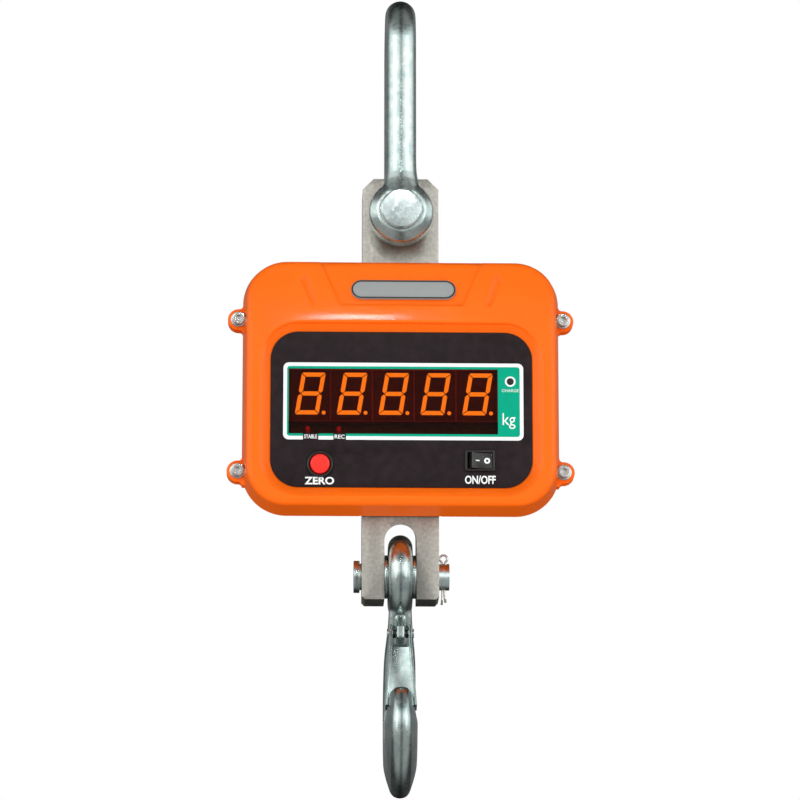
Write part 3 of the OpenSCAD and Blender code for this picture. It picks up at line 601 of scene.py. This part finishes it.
# Outlines pressed into the slope, in mm across and up it from its middle
PLATE_POCKET = [(-64, 34), (64, 34), (44.5, -15), (-44.5, -15)]
GROOVE = [(60.5, -12.8), (63.9, -16.1), (72.6, 5.9), (68.2, 12.4)]
LUG_FRONT_Y = JOINT_Y - 4.5 * MM
LUG_BACK_Y = RIM_Y + 5 * MM
WASHER_R = 5.6 * MM


def detailed_front(x, z):
    """The front with the plate's pocket and the two slanting grooves pressed into its slope."""
    y = plain_front(x, z)
    up = (z - SLOPE_MID_Z) / math.cos(SLOPE_LEAN)
    pocket = [(a * MM, b * MM) for a, b in PLATE_POCKET]
    y = y + 2 * MM * smoothstep(-distance_to_outline(x, up, pocket) / (2 * MM))
    groove = [(a * MM, b * MM) for a, b in GROOVE]
    for side in (-1, 1):
        y = y + 1.5 * MM * smoothstep(-distance_to_outline(x * side, up, groove) / (1.5 * MM))
    return y


def ring_at(outline, y):
    y = np.broadcast_to(y, outline[:, 0].shape)
    return [Vector((p[0], d, p[1])) for p, d in zip(outline, y)]


def lug_places():
    """X and Z of the four lugs' screws."""
    start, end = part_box("cover_washers")
    across = (start.x + WASHER_R, end.x - WASHER_R)
    heights = (start.z + WASHER_R, end.z - WASHER_R)
    return [(x, z) for x in across for z in heights]


def front_cover_rings():
    rings = []
    for t in np.linspace(0, 1, 9):
        outline = case_ring(DRAFT * t)
        edge = plain_front(outline[:, 0], outline[:, 1]) + EDGE_R
        rings.append(ring_at(outline, JOINT_Y + (edge - JOINT_Y) * t))
    for a in np.radians(np.linspace(0, 90, 9))[1:]:
        outline = case_ring(DRAFT + EDGE_R * (1 - math.cos(a)))
        front = detailed_front(outline[:, 0], outline[:, 1])
        rings.append(ring_at(outline, front + EDGE_R * (1 - math.sin(a))))
    outer = case_ring(DRAFT + EDGE_R)
    inner = panel_ring(POCKET_BEVEL + 1.2 * MM)
    for t in np.linspace(0, 1, 84)[1:]:
        outline = outer * (1 - t) + inner * t
        rings.append(ring_at(outline, detailed_front(outline[:, 0], outline[:, 1])))
    rim = [(0.5, 0.15), (-0.1, 0.5), (-0.9, 1.3)]
    for grow, sink in rim:
        outline = panel_ring(POCKET_BEVEL + grow * MM)
        rings.append(ring_at(outline, plain_front(outline[:, 0], outline[:, 1]) + sink * MM))
    for t in np.linspace(0.25, 1, 6):
        outline = panel_ring(POCKET_BEVEL * (1 - t))
        rings.append(ring_at(outline, FRONT_Y + (POCKET_Y - FRONT_Y) * t))
    rings.append(ring_at(panel_ring(-1 * MM), POCKET_Y))
    rings.append(ring_at(window_ring(0.1 * MM), POCKET_Y))
    rings.append(ring_at(window_ring(0.1 * MM), POCKET_Y + WALL))
    rings.append(ring_at(panel_ring(1.5 * MM), POCKET_Y + WALL))
    for grow in (POCKET_BEVEL, POCKET_BEVEL + 2 * MM):
        outline = panel_ring(grow)
        rings.append(ring_at(outline, plain_front(outline[:, 0], outline[:, 1]) + WALL))
    outline = case_ring(DRAFT + WALL + 2 * MM)
    rings.append(ring_at(outline, plain_front(outline[:, 0], outline[:, 1]) + WALL))
    outline = case_ring(DRAFT + WALL)
    rings.append(ring_at(outline, plain_front(outline[:, 0], outline[:, 1]) + WALL + 2 * MM))
    rings.append(ring_at(case_ring(WALL), JOINT_Y))
    return rings


def hole(node, grow, start, end):
    """A round cutter about a node's middle."""
    radius = (high(node).x - low(node).x) / 2 + grow
    at = middle(node)
    return rod("Y", radius, start, end, (at.x, 0, at.z))


def make_front_cover():
    mesh = mesh_of("front_cover_shell", *loft(front_cover_rings(), cap=False, loop=True))
    floor = POCKET_Y - 1 * MM
    behind = POCKET_Y + WALL + 1 * MM
    zero = middle("zero_button_housing")
    switch = middle("power_switch_body")
    half_w, half_h = 9.6 * MM, 6.6 * MM
    room = WASHER_R + 0.3 * MM
    cutters = [rod("Y", room, FRONT_Y - 1 * MM, LUG_FRONT_Y, (x, 0, z), 48) for x, z in lug_places()]
    cutters += [
        rod("Y", 8.1 * MM, floor, behind, (zero.x, 0, zero.z)),
        block(switch.x - half_w, switch.x + half_w, floor, behind, switch.z - half_h, switch.z + half_h),
        hole("charge_lamp", 0, floor, behind),
    ]
    mesh = cut("front_cover_shell", mesh, cutters)
    piece("front_cover_shell", mesh, "orange_paint", "scale_body", "front_cover", smooth_angle=50)


def rear_cover_rings():
    depth = BACK_Y - RIM_Y
    edge = 7 * MM
    rings = []
    for t in np.linspace(0, 1, 14):
        y = RIM_Y + (depth - edge) * t
        rings.append(ring_at(case_ring(REAR_TAPER * (y - RIM_Y) / depth), y))
    start = REAR_TAPER * (depth - edge) / depth
    for a in np.radians(np.linspace(0, 90, 9))[1:]:
        inset = start + edge * (1 - math.cos(a))
        rings.append(ring_at(case_ring(inset), BACK_Y - edge * (1 - math.sin(a))))
    return rings


def rear_inner_rings():
    depth = BACK_Y - RIM_Y
    rings = []
    for t in (1, 0.5, 0):
        y = RIM_Y + (depth - WALL - 3 * MM) * t
        rings.append(ring_at(case_ring(WALL + REAR_TAPER * (y - RIM_Y) / depth), y))
    return rings


def rear_cover_cutters():
    """Room for the bar and its collars, and sunk holes for the bolts and the charging socket."""
    bar = high("top_seal").x
    behind = high("top_seal").y
    top = CASE_TOP + 10 * MM
    foot = CASE_TOP - CASE_H - 10 * MM
    cutters = [
        block(-bar, bar, RIM_Y - 1 * MM, behind, CASE_TOP - 12 * MM, top),
        block(-bar, bar, RIM_Y - 1 * MM, behind, foot, foot + 22 * MM),
    ]
    bolts_low, bolts_high = low("cell_bolts"), high("cell_bolts")
    head = 6.5 * MM
    for x in (bolts_low.x + head, bolts_high.x - head):
        for z in (bolts_low.z + head, bolts_high.z - head):
            cutters.append(rod("Y", head + 0.8 * MM, BACK_Y - 9 * MM, BACK_Y + 1 * MM, (x, 0, z)))
    socket = middle("charge_socket")
    cutters.append(rod("Y", 9 * MM, BACK_Y - 1.5 * MM, BACK_Y + 1 * MM, (socket.x, 0, socket.z)))
    cutters.append(rod("Y", 5.55 * MM, BACK_Y - 9 * MM, BACK_Y - 1 * MM, (socket.x, 0, socket.z)))
    return cutters


def make_rear_cover():
    core = ring_at(case_ring(WALL + REAR_TAPER + 3 * MM), BACK_Y - WALL)
    rings = rear_cover_rings()[::-1] + rear_inner_rings()[::-1] + [core]
    mesh = mesh_of("rear_cover_shell", *loft(rings))
    mesh = cut("rear_cover_shell", mesh, rear_cover_cutters())
    piece("rear_cover_shell", mesh, "orange_paint", "scale_body", "rear_cover", smooth_angle=50)


def lug_outline(at_x, at_z):
    """A lug's round end, with a fillet on each side where it leaves the housing's wall."""
    side = math.copysign(1, at_x)
    radius = 7.8 * MM
    fillet = 2.5 * MM
    centre_x = abs(at_x)
    wall_x = CASE_W / 2
    reach = radius + fillet
    offset = wall_x + fillet - centre_x
    rise = math.sqrt(reach * reach - offset * offset)
    meet = math.degrees(math.atan2(rise, offset))
    points = [(wall_x - 6 * MM, -rise)]
    for a in np.radians(np.linspace(180, meet, 7)):
        points.append((wall_x + fillet + fillet * math.cos(a), -rise + fillet * math.sin(a)))
    for a in np.radians(np.linspace(-meet, meet, 33)[1:-1]):
        points.append((centre_x + radius * math.cos(a), radius * math.sin(a)))
    for a in np.radians(np.linspace(-meet, -180, 7)):
        points.append((wall_x + fillet + fillet * math.cos(a), rise + fillet * math.sin(a)))
    points.append((wall_x - 6 * MM, rise))
    return [(side * x, z + at_z) for x, z in points]


def make_lugs():
    spans = {
        "front_lugs": (LUG_FRONT_Y, JOINT_Y, "front_cover"),
        "rear_lugs": (RIM_Y, LUG_BACK_Y, "rear_cover"),
    }
    for name, (start, end, replaced) in spans.items():
        parts = [prism(lug_outline(x, z), start, end) for x, z in lug_places()]
        mesh = bevelled(name, mesh_of(name, *join(parts)), 0.9 * MM, 4, 60)
        piece(name, mesh, "orange_paint", "scale_body", replaced, smooth_angle=40)


# ---------- Printed panel and display ----------

INK = 0.05 * MM
PRINT_Y = PANEL_Y - INK
PRINT_FOOT = WINDOW_LOW.z - 4.4 * MM


def rounded(x0, x1, z0, z1, radius, steps=8):
    """X and Z of a rounded rectangle between two corners."""
    points = []
    corners = [(x1, z1, 0), (x0, z1, 90), (x0, z0, 180), (x1, z0, 270)]
    for x, z, start in corners:
        cx = x - math.copysign(radius, x - (x0 + x1) / 2)
        cz = z - math.copysign(radius, z - (z0 + z1) / 2)
        for k in range(steps + 1):
            a = math.radians(start + 90 * k / steps)
            points.append((cx + radius * math.cos(a), cz + radius * math.sin(a)))
    return points


def flat_ring(outer, inner, y0, y1):
    """A flat closed band between two outlines of equal length."""
    rings = [(outer, y0), (inner, y0), (inner, y1), (outer, y1)]
    return loft([[Vector((x, y, z)) for x, z in outline] for outline, y in rings], cap=False, loop=True)


def circle(x, z, radius, count=48):
    angles = [2 * math.pi * k / count for k in range(count)]
    return [(x + radius * math.cos(a), z + radius * math.sin(a)) for a in angles]


def lettering(name, words, x, z, height, y, width, bold):
    """Flat generic words, centred on a point of an upright face, their strokes widened by bold."""
    curve = bpy.data.curves.new(name, "FONT")
    curve.body = words
    curve.size = 10 * MM
    curve.extrude = INK / 2
    curve.offset = bold
    curve.resolution_u = 3
    text = bpy.data.objects.new(name, curve)
    bpy.context.scene.collection.objects.link(text)
    bpy.context.view_layer.update()
    mesh = bpy.data.meshes.new_from_object(text.evaluated_get(bpy.context.evaluated_depsgraph_get()))
    bpy.data.objects.remove(text)
    points = np.array([v.co for v in mesh.vertices])
    start, end = points.min(0), points.max(0)
    tall = height / (end[1] - start[1])
    wide = width / (end[0] - start[0])
    centre = (start + end) / 2
    turn = Matrix(((wide, 0, 0, x - centre[0] * wide), (0, 0, -1, y), (0, tall, 0, z - centre[1] * tall),
                   (0, 0, 0, 1)))
    mesh.transform(turn)
    clean(mesh)
    mesh.name = name
    return mesh


def print_frames():
    """The white and green frames round the window, and the white ring round the charge lamp."""
    left = WINDOW_LOW.x - 3.8 * MM
    right = WINDOW_HIGH.x + 18.2 * MM
    top = WINDOW_HIGH.z + 4.4 * MM
    line = 2.6 * MM
    outer = rounded(left, right, PRINT_FOOT, top, 4 * MM)
    inner = rounded(left + line, right - line, PRINT_FOOT + line, top - line, 2 * MM)
    window = rounded(WINDOW_LOW.x, WINDOW_HIGH.x, WINDOW_LOW.z, WINDOW_HIGH.z, 0.3 * MM)
    lamp = middle("charge_lamp")
    white = [flat_ring(outer, inner, PRINT_Y, PANEL_Y)]
    white.append(flat_ring(circle(lamp.x, lamp.z, 3.8 * MM), circle(lamp.x, lamp.z, 2.55 * MM),
                           PRINT_Y - INK, PANEL_Y - INK / 2))
    piece("printed_white_frame", mesh_of("printed_white_frame", *join(white)), "white_ink", "scale_body",
          smooth_angle=30)
    green = flat_ring(inner, window, PRINT_Y, PANEL_Y)
    piece("printed_green_frame", mesh_of("printed_green_frame", *green), "green_ink", "scale_body",
          smooth_angle=30)


def print_labels():
    zero = middle("zero_button_housing")
    switch = middle("power_switch_body")
    lamp = middle("charge_lamp")
    labels = [
        ("legend_zero", "ZERO", zero.x - 0.4 * MM, zero.z - 11.8 * MM, 5.6 * MM, 21 * MM, 0.3 * MM),
        ("legend_power", "ON/OFF", switch.x + 0.2 * MM, switch.z - 13.6 * MM, 6.1 * MM, 21.8 * MM, 0.25 * MM),
        ("legend_charge", "CHARGE", lamp.x, lamp.z - 6.6 * MM, 2.1 * MM, 12 * MM, 0),
        ("legend_unit", "kg", lamp.x - 1 * MM, lamp.z - 28.8 * MM, 11.5 * MM, 9.2 * MM, 0),
    ]
    for name, words, x, z, height, width, bold in labels:
        mesh = lettering(name, words, x, z, height, PRINT_Y - INK / 2, width, bold)
        piece(name, mesh, "white_ink", "scale_body", smooth_angle=30)


def print_status_labels():
    """The two status lamps' names, each on a dark patch over the frames' lower edge."""
    z = PRINT_FOOT + 2.2 * MM
    lamps = (low("status_lamps").x + 1.5 * MM, high("status_lamps").x - 1.5 * MM)
    for name, words, x, width in (("legend_stable", "STABLE", lamps[0] + 2 * MM, 9.2 * MM),
                                  ("legend_record", "REC", lamps[1] + 0.6 * MM, 7.2 * MM)):
        half = width / 2 + 0.9 * MM
        outline = rounded(x - half, x + half, PRINT_FOOT - INK, PRINT_FOOT + 4.6 * MM, 0.3 * MM)
        patch = prism(outline, PRINT_Y - INK, PANEL_Y - INK / 2)
        piece(name + "_ground", mesh_of(name + "_ground", *patch), "panel_black", "scale_body",
              smooth_angle=30)
        mesh = lettering(name, words, x, z, 2.9 * MM, PRINT_Y - 1.5 * INK, width, 0.15 * MM)
        piece(name, mesh, "white_ink", "scale_body", smooth_angle=30)


SEGMENT_T = 3.0 * MM
DIGIT_W = 17 * MM
DIGIT_H = 30.6 * MM
DIGIT_SLANT = math.tan(math.radians(9.5))


def digit_bars():
    """Outlines of a digit's seven bars about its middle, mitred where they meet."""
    w, h, t = DIGIT_W / 2, DIGIT_H / 2, SEGMENT_T
    gap = 0.42 * MM
    nick = 0.6 * MM
    top = [(gap - w + nick, h), (w - gap - nick, h), (w - gap, h - nick), (w - t - gap, h - t),
           (t + gap - w, h - t), (gap - w, h - nick)]
    side = [(-w, h - gap - nick), (t - w, h - t - gap), (t - w, t / 2 + gap), (t / 2 - w, gap),
            (-w, t / 2 + gap)]
    bar = [(t / 2 + gap - w, 0), (t + gap - w, t / 2), (w - t - gap, t / 2), (w - t / 2 - gap, 0),
           (w - t - gap, -t / 2), (t + gap - w, -t / 2)]
    bars = [bar]
    for up in (-1, 1):
        bars.append([(x, up * z) for x, z in top])
        for across in (-1, 1):
            bars.append([(across * x, up * z) for x, z in side])
    return [[(x + z * DIGIT_SLANT, z) for x, z in outline] for outline in bars]


def make_digits():
    modules_low, modules_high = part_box("led_modules")
    module_w = 29.5 * MM
    pitch = (modules_high.x - modules_low.x - module_w) / 4
    z = (modules_low.z + modules_high.z) / 2 + 1.3 * MM
    face = modules_low.y
    front, back = face - 0.25 * MM, face + 0.1 * MM
    edge = 0.35 * MM
    segments, rims = [], []
    for i in range(5):
        centre = modules_low.x + module_w / 2 + i * pitch
        x = centre + 0.5 * MM
        for outline in digit_bars():
            segments.append(prism([(px + x, pz + z) for px, pz in outline], front, back))
        dot = circle(x + DIGIT_W / 2 + 1.1 * MM, z - DIGIT_H / 2 + 1.4 * MM, 1.4 * MM, 24)
        segments.append(prism(dot, front, back))
        half = module_w / 2
        outer = rounded(centre - half, centre + half, modules_low.z, modules_high.z, 0.5 * MM, 3)
        inner = rounded(centre - half + edge, centre + half - edge,
                        modules_low.z + edge, modules_high.z - edge, 0.4 * MM, 3)
        rims.append(flat_ring(outer, inner, face - 0.12 * MM, face + 0.05 * MM))
    piece("digit_segments", mesh_of("digit_segments", *join(segments)), "lit_segment", "scale_body",
          smooth_angle=30)
    # The rims' material carries a painted glow, not light of their own: the module edges are no lamps.
    piece("module_rims", mesh_of("module_rims", *join(rims)), "painted_glow_module_rim", "scale_body", smooth_angle=30)


def make_plate_edge():
    """The dark bead round the blank plate, on the slope."""
    plate_low, plate_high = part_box("name_plate")
    thick = 1.5 * MM
    half_w = (plate_high.x - plate_low.x) / 2 - 0.2 * MM
    half_h = (plate_high.z - plate_low.z - thick * math.sin(SLOPE_LEAN)) / 2 / math.cos(SLOPE_LEAN) - 0.2 * MM
    bead = 1.2 * MM
    outer = rounded(-half_w, half_w, -half_h, half_h, half_h, 16)
    inner = rounded(bead - half_w, half_w - bead, bead - half_h, half_h - bead, half_h - bead, 16)
    ring = flat_ring(outer, inner, -thick / 2 - 0.1 * MM, 0)
    place = Matrix.Translation(middle("name_plate")) @ Matrix.Rotation(-SLOPE_LEAN, 4, "X")
    mesh = mesh_of("plate_edge", *placed(ring, place))
    piece("plate_edge", mesh, "black_rubber", "scale_body", smooth_angle=40)


# ---------- Controls ----------

def round_profile(radius, top, edge, steps=6):
    """Radius and y of a domed end that faces -Y: a flat middle, and an edge turned with a radius."""
    points = [(0, top), (radius * 0.5, top + 0.02 * MM), (radius - edge, top + 0.1 * MM)]
    for k in range(1, steps + 1):
        a = math.radians(90 * k / steps)
        points.append((radius - edge + edge * math.sin(a), top + 0.1 * MM + edge * (1 - math.cos(a))))
    return points


def turned(name, profile, at, material, body, *replaced, count=96, angle=40):
    """A piece turned about +Y, from its axis out and back to its axis."""
    rings = []
    for radius, y in profile:
        rings.append([Vector((at[0] + radius * math.cos(2 * math.pi * k / count), y,
                              at[1] + radius * math.sin(2 * math.pi * k / count))) for k in range(count)])
    closed = profile[0][0] > 0
    points, faces = loft(rings, cap=not closed, loop=closed)
    return piece(name, mesh_of(name, points, faces), material, body, *replaced, smooth_angle=angle)


def make_zero_cap():
    cap = middle("zero_button_cap")
    cap_low, cap_high = low("zero_button_cap"), high("zero_button_cap")
    radius = (cap_high.x - cap_low.x) / 2
    profile = round_profile(radius, cap_low.y, 1.5 * MM)
    back = PANEL_Y + 6 * MM
    stem = 2.5 * MM
    profile += [(radius, back - 0.3 * MM), (radius - 0.3 * MM, back), (stem + 0.3 * MM, back),
                (stem, back + 0.3 * MM), (stem, cap_high.y - 0.3 * MM), (stem - 0.3 * MM, cap_high.y),
                (0, cap_high.y)]
    turned("zero_cap", profile, (cap.x, cap.z), "button_red", "zero_button", "zero_button_cap")


def make_zero_bezel():
    cap = middle("zero_button_cap")
    housing_low, housing_high = low("zero_button_housing"), high("zero_button_housing")
    outer = (housing_high.x - housing_low.x) / 2
    bore = (high("zero_button_cap").x - low("zero_button_cap").x) / 2 + 0.1 * MM
    front = housing_low.y
    lip = 1.0 * MM
    profile = [(bore, front + 1.6 * MM), (bore + 0.5 * MM, front + 0.4 * MM), (bore + 1.1 * MM, front)]
    for k in range(0, 7):
        a = math.radians(90 * k / 6)
        profile.append((outer - lip + lip * math.sin(a), front + lip * (1 - math.cos(a)) + 0.05 * MM))
    profile += [(outer, PANEL_Y), (8 * MM, PANEL_Y), (8 * MM, housing_high.y), (2.6 * MM, housing_high.y),
                (2.6 * MM, housing_high.y - 3 * MM), (bore, housing_high.y - 3 * MM)]
    turned("zero_bezel", profile, (cap.x, cap.z), "black_plastic", "scale_body", "zero_button_housing")


def make_rocker_marks():
    """The generic on and off marks, printed on the two tilted faces of the rocker."""
    rocker = nodes["power_rocker"]
    pivot = middle("power_rocker")
    face_y = low("power_rocker").y
    marks = []
    dash = rounded(-1.5 * MM, 1.5 * MM, -0.4 * MM, 0.4 * MM, 0.2 * MM, 3)
    marks.append(prism(dash, -INK, INK))
    ring = flat_ring(circle(0, 0, 2.1 * MM, 32), circle(0, 0, 0.9 * MM, 32), -INK, INK)
    places = [(-2.2 * MM, marks[0]), (4.6 * MM, ring)]
    shaped = []
    for x, mark in places:
        start = Vector((pivot.x + x, face_y - 0.02, pivot.z))
        hit, point, normal, _ = rocker.ray_cast(start, Vector((0, 1, 0)))
        if hit:
            lean = math.atan2(normal.x, -normal.y)
            turn = Matrix.Translation(point) @ Matrix.Rotation(lean, 4, "Z")
            shaped.append(placed(mark, turn))
    mesh = mesh_of("rocker_marks", *join(shaped))
    piece("rocker_marks", mesh, "white_ink", "power_rocker", smooth_angle=30)


# ---------- Shackle, hook and pins ----------

def ear_part(side):
    """The round ear at a leg's foot, turned with soft edges."""
    half = 12 * MM
    radius = (high("shackle_bow").x - low("shackle_bow").x) / 2
    bevel = 5.8 * MM
    profile = [(radius - bevel, -half), (radius, bevel - half),
               (radius, half - bevel), (radius - bevel, half)]
    return placed(revolve(profile, 96), Matrix.Translation((0, side * LEG_Y, PIN_Z)))


def make_shackle():
    bar_r = 11 * MM
    crown = LEG_Y
    centre_z = -(crown - bar_r)
    path = [(0, -LEG_Y, z) for z in np.linspace(PIN_Z + 2 * MM, centre_z, 24)[:-1]]
    for a in np.radians(np.linspace(180, 0, 33)):
        path.append((0, LEG_Y * math.cos(a), centre_z + crown * math.sin(a)))
    path += [(0, LEG_Y, z) for z in np.linspace(centre_z, PIN_Z + 2 * MM, 24)[1:]]
    radii = []
    for _, _, z in path:
        flare = min(1.0, max(0.0, 1 - (z - PIN_Z - 14 * MM) / (26 * MM)))
        radii.append(bar_r + 4.5 * MM * flare ** 2.5)
    parts = [sweep(path, radii, 40), ear_part(-1), ear_part(1)]
    mesh = forged("shackle_forging", parts, 0.9 * MM, 5)
    mesh = cut("shackle_forging", mesh, [rod("Y", 11.2 * MM, -0.06, 0.06, (0, 0, PIN_Z), 96)])
    piece("shackle_forging", mesh, "zinc_steel", "shackle", "shackle_bow", smooth_angle=50)


def hook_stations():
    """Inner point (y, z from the pin), lean, width and depth of the hook's section, from neck to tip."""
    bowl_z = -108.6
    bowl_r = 22
    wide, deep = 23.5, 28
    stations = [(-10.8, -14, 3, 16.4, 21), (-10.5, -24, 8, 16.4, 21.5), (-6, -40, 22, 18, 24),
                (6.5, -60, 27, 22.3, 24.8), (16.6, -82, 12, wide, 26.4), (21.5, -98, 3, wide, 27.6)]
    for degrees in range(0, -181, -12):
        a = math.radians(degrees)
        stations.append((bowl_r * math.cos(a), bowl_z + bowl_r * math.sin(a), degrees, wide, deep))
    for above, radius, width, depth in ((9, 24.6, 21.5, 24.8), (19, 29.2, 19, 19), (28, 33.2, 17.5, 13),
                                        (33, 36, 15.5, 7.8), (35, 37.9, 10.5, 4.2)):
        a = math.radians(180 - above)
        stations.append((radius * math.cos(a), bowl_z + radius * math.sin(a), -180 - above, width, depth))
    return stations


# Half outline of the hook's section: depth from the load's side, and half width, each as a share
SECTION = [(0, 0.0), (0.0, 0.3), (0.03, 0.42), (0.12, 0.5), (0.24, 0.5), (0.5, 0.43), (0.72, 0.345),
           (0.86, 0.29), (0.95, 0.2), (0.985, 0.11), (1, 0.0)]


def hook_ring(y, z, lean, width, depth):
    """One section of the hook: broad on the load's side, narrow outside, with a rounded outline."""
    half = SECTION + [(u, -w) for u, w in SECTION[-2:0:-1]]
    corner = np.array(half)
    for _ in range(2):
        after = np.roll(corner, -1, axis=0)
        corner = np.stack([corner * 0.75 + after * 0.25, corner * 0.25 + after * 0.75], 1).reshape(-1, 2)
    a = math.radians(lean)
    ring = []
    for u, w in corner:
        ring.append(Vector((w * width, y + u * depth * math.cos(a), z + u * depth * math.sin(a))) * MM)
    return ring


def smooth_stations(stations, between=4):
    """More stations on a smooth curve through the given ones."""
    rows = np.array(stations, float)
    result = []
    for i in range(len(rows) - 1):
        p0, p1 = rows[max(i - 1, 0)], rows[i]
        p2, p3 = rows[i + 1], rows[min(i + 2, len(rows) - 1)]
        for k in range(between):
            t = k / between
            result.append(0.5 * (2 * p1 + (p2 - p0) * t + (2 * p0 - 5 * p1 + 4 * p2 - p3) * t * t
                                 + (3 * p1 - p0 - 3 * p2 + p3) * t ** 3))
    result.append(rows[-1])
    return result


def eye_part():
    radius = 30 * MM
    half = 8.75 * MM
    profile = [(9.3 * MM, -half)]
    middle_r = radius - half
    for a in np.radians(np.linspace(-90, 90, 17)):
        profile.append((middle_r + half * math.cos(a), half * math.sin(a)))
    profile.append((9.3 * MM, half))
    rings = []
    for r, x in profile:
        ring = [Vector((x, r * math.cos(2 * math.pi * k / 96), r * math.sin(2 * math.pi * k / 96)))
                for k in range(96)]
        rings.append(ring)
    return loft(rings, cap=False, loop=True)


def boss_part():
    """The plate on the hook's neck that carries the latch's pin."""
    pin = middle("latch_pin")
    y, z = pin.y, pin.z - HOOK_Z
    half = 2.5 * MM
    outline = [(-8 * MM, -29 * MM), (4 * MM, -29 * MM), (6 * MM, -48 * MM), (y + 2 * MM, z - 5.2 * MM),
               (y - 3.4 * MM, z - 5.2 * MM), (y - 5.2 * MM, z - 4 * MM), (y - 5.2 * MM, z + 5 * MM)]
    left = [Vector((-half, p[0], p[1])) for p in outline]
    right = [Vector((half, p[0], p[1])) for p in outline]
    return loft([left, right])


def make_hook():
    rings = [hook_ring(*row) for row in smooth_stations(hook_stations())]
    parts = [loft(rings), eye_part(), boss_part()]
    mesh = forged("hook_forging", parts, 0.8 * MM, 6)
    mesh.transform(Matrix.Translation((0, 0, HOOK_Z)))
    pin = middle("latch_pin")
    cutters = [rod("X", 9.56 * MM, -0.03, 0.03, (0, 0, HOOK_Z), 96),
               rod("X", 2.05 * MM, -0.03, 0.03, (0, pin.y, pin.z), 32)]
    mesh = cut("hook_forging", mesh, cutters)
    piece("hook_forging", mesh, "zinc_steel", "hook", "hook", smooth_angle=50)


def make_latch_spring():
    """Two coils of wire on the latch's pin, one on each side of the boss."""
    pin = middle("latch_pin")
    spring_low, spring_high = low("latch_spring"), high("latch_spring")
    wire = 0.45 * MM
    radius = (spring_high.z - spring_low.z) / 2 - wire
    parts = []
    for side in (-1, 1):
        start, end = 2.9 * MM + wire, spring_high.x - wire
        path = []
        turns = 3
        for k in range(turns * 20 + 1):
            a = 2 * math.pi * k / 20
            x = start + (end - start) * k / (turns * 20)
            path.append((side * x, pin.y + radius * math.cos(a), pin.z + radius * math.sin(a)))
        parts.append(sweep(path, wire, 8))
    piece("spring_coils", mesh_of("spring_coils", *join(parts)), "black_oxide", "hook", "latch_spring")


def split_pin_part(shank_r, above, below, loop_r, splay):
    """A bent wire: two legs side by side, a round loop on top, and tips sprung slightly apart."""
    wire = shank_r * 0.52
    gap = wire * 0.98
    path = [(-gap - splay, 0, -below), (-gap - splay * 0.3, 0, -below * 0.8), (-gap, 0, -below * 0.55),
            (-gap, 0, 0), (-gap, 0, above * 0.85)]
    centre = above + loop_r * 0.9
    for a in np.radians(np.linspace(235, -55, 25)):
        path.append((loop_r * math.cos(a), 0, centre + loop_r * math.sin(a)))
    path += [(gap, 0, above * 0.85), (gap, 0, 0), (gap, 0, -below * 0.55),
             (gap + splay * 0.3, 0, -below * 0.75), (gap + splay, 0, -below * 0.92)]
    return sweep(path, wire, 12)


def make_split_pins():
    pins = (("shackle_split_pin", "shackle_cotter", "shackle", PIN_Z),
            ("hook_split_pin", "hook_pin_cotter", "scale_body", HOOK_Z))
    for name, node, body, axis_z in pins:
        box_low, box_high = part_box(node)
        loop = (box_high.x - box_low.x) / 2
        centre = middle(node)
        wire_r = loop * 0.3
        loop_r = loop - wire_r * 0.6
        above = box_high.z - axis_z - 2 * loop_r - 0.3 * MM
        part = split_pin_part(loop * 0.48, above, axis_z - box_low.z, loop_r, 0.6 * MM)
        part = placed(part, Matrix.Translation((centre.x, centre.y, axis_z)))
        piece(name, mesh_of(name, *part), "cotter_steel", body, node)


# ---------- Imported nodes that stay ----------

# Width of each node's edge bevel, in mm
NODE_BEVELS = {
    "load_cell": 0.8, "shackle_pin": 0.5, "shackle_nut": 0.7, "hook_pin": 0.7, "latch": 0.55,
    "latch_pin": 0.35,
    "pin_spacers": 0.4, "cover_screws": 0.5, "cover_washers": 0.25, "name_plate": 0.18, "front_panel": 0.15,
    "top_seal": 0.6, "bottom_seal": 0.6, "power_switch_body": 0.45, "power_rocker": 0.5, "cell_bolts": 0.4,
    "charge_socket": 0.4, "cover_gasket": 0.2, "battery": 1.5, "battery_tray": 0.3, "led_modules": 0.15,
    "charge_lamp": 0.2,
}

NODE_FINISH = {entry["node"]: entry["material_slot"] for entry in frame["record"]["subparts"]}


def finish_node(name):
    obj = nodes[name]
    obj.data.materials.clear()
    obj.data.materials.append(MATERIALS[NODE_FINISH[name]])
    for polygon in obj.data.polygons:
        polygon.use_smooth = True
    if name in NODE_BEVELS:
        add_bevel(obj, NODE_BEVELS[name] * MM)


# ---------- Assembly ----------

add_camera()
add_world()
add_lights()
add_floor()
make_front_cover()
make_rear_cover()
make_lugs()
print_frames()
print_labels()
print_status_labels()
make_digits()
make_plate_edge()
make_zero_cap()
make_zero_bezel()
make_rocker_marks()
make_shackle()
make_hook()
make_latch_spring()
make_split_pins()
for node_name in nodes:
    finish_node(node_name)
bpy.context.scene.view_settings.view_transform = "Standard"
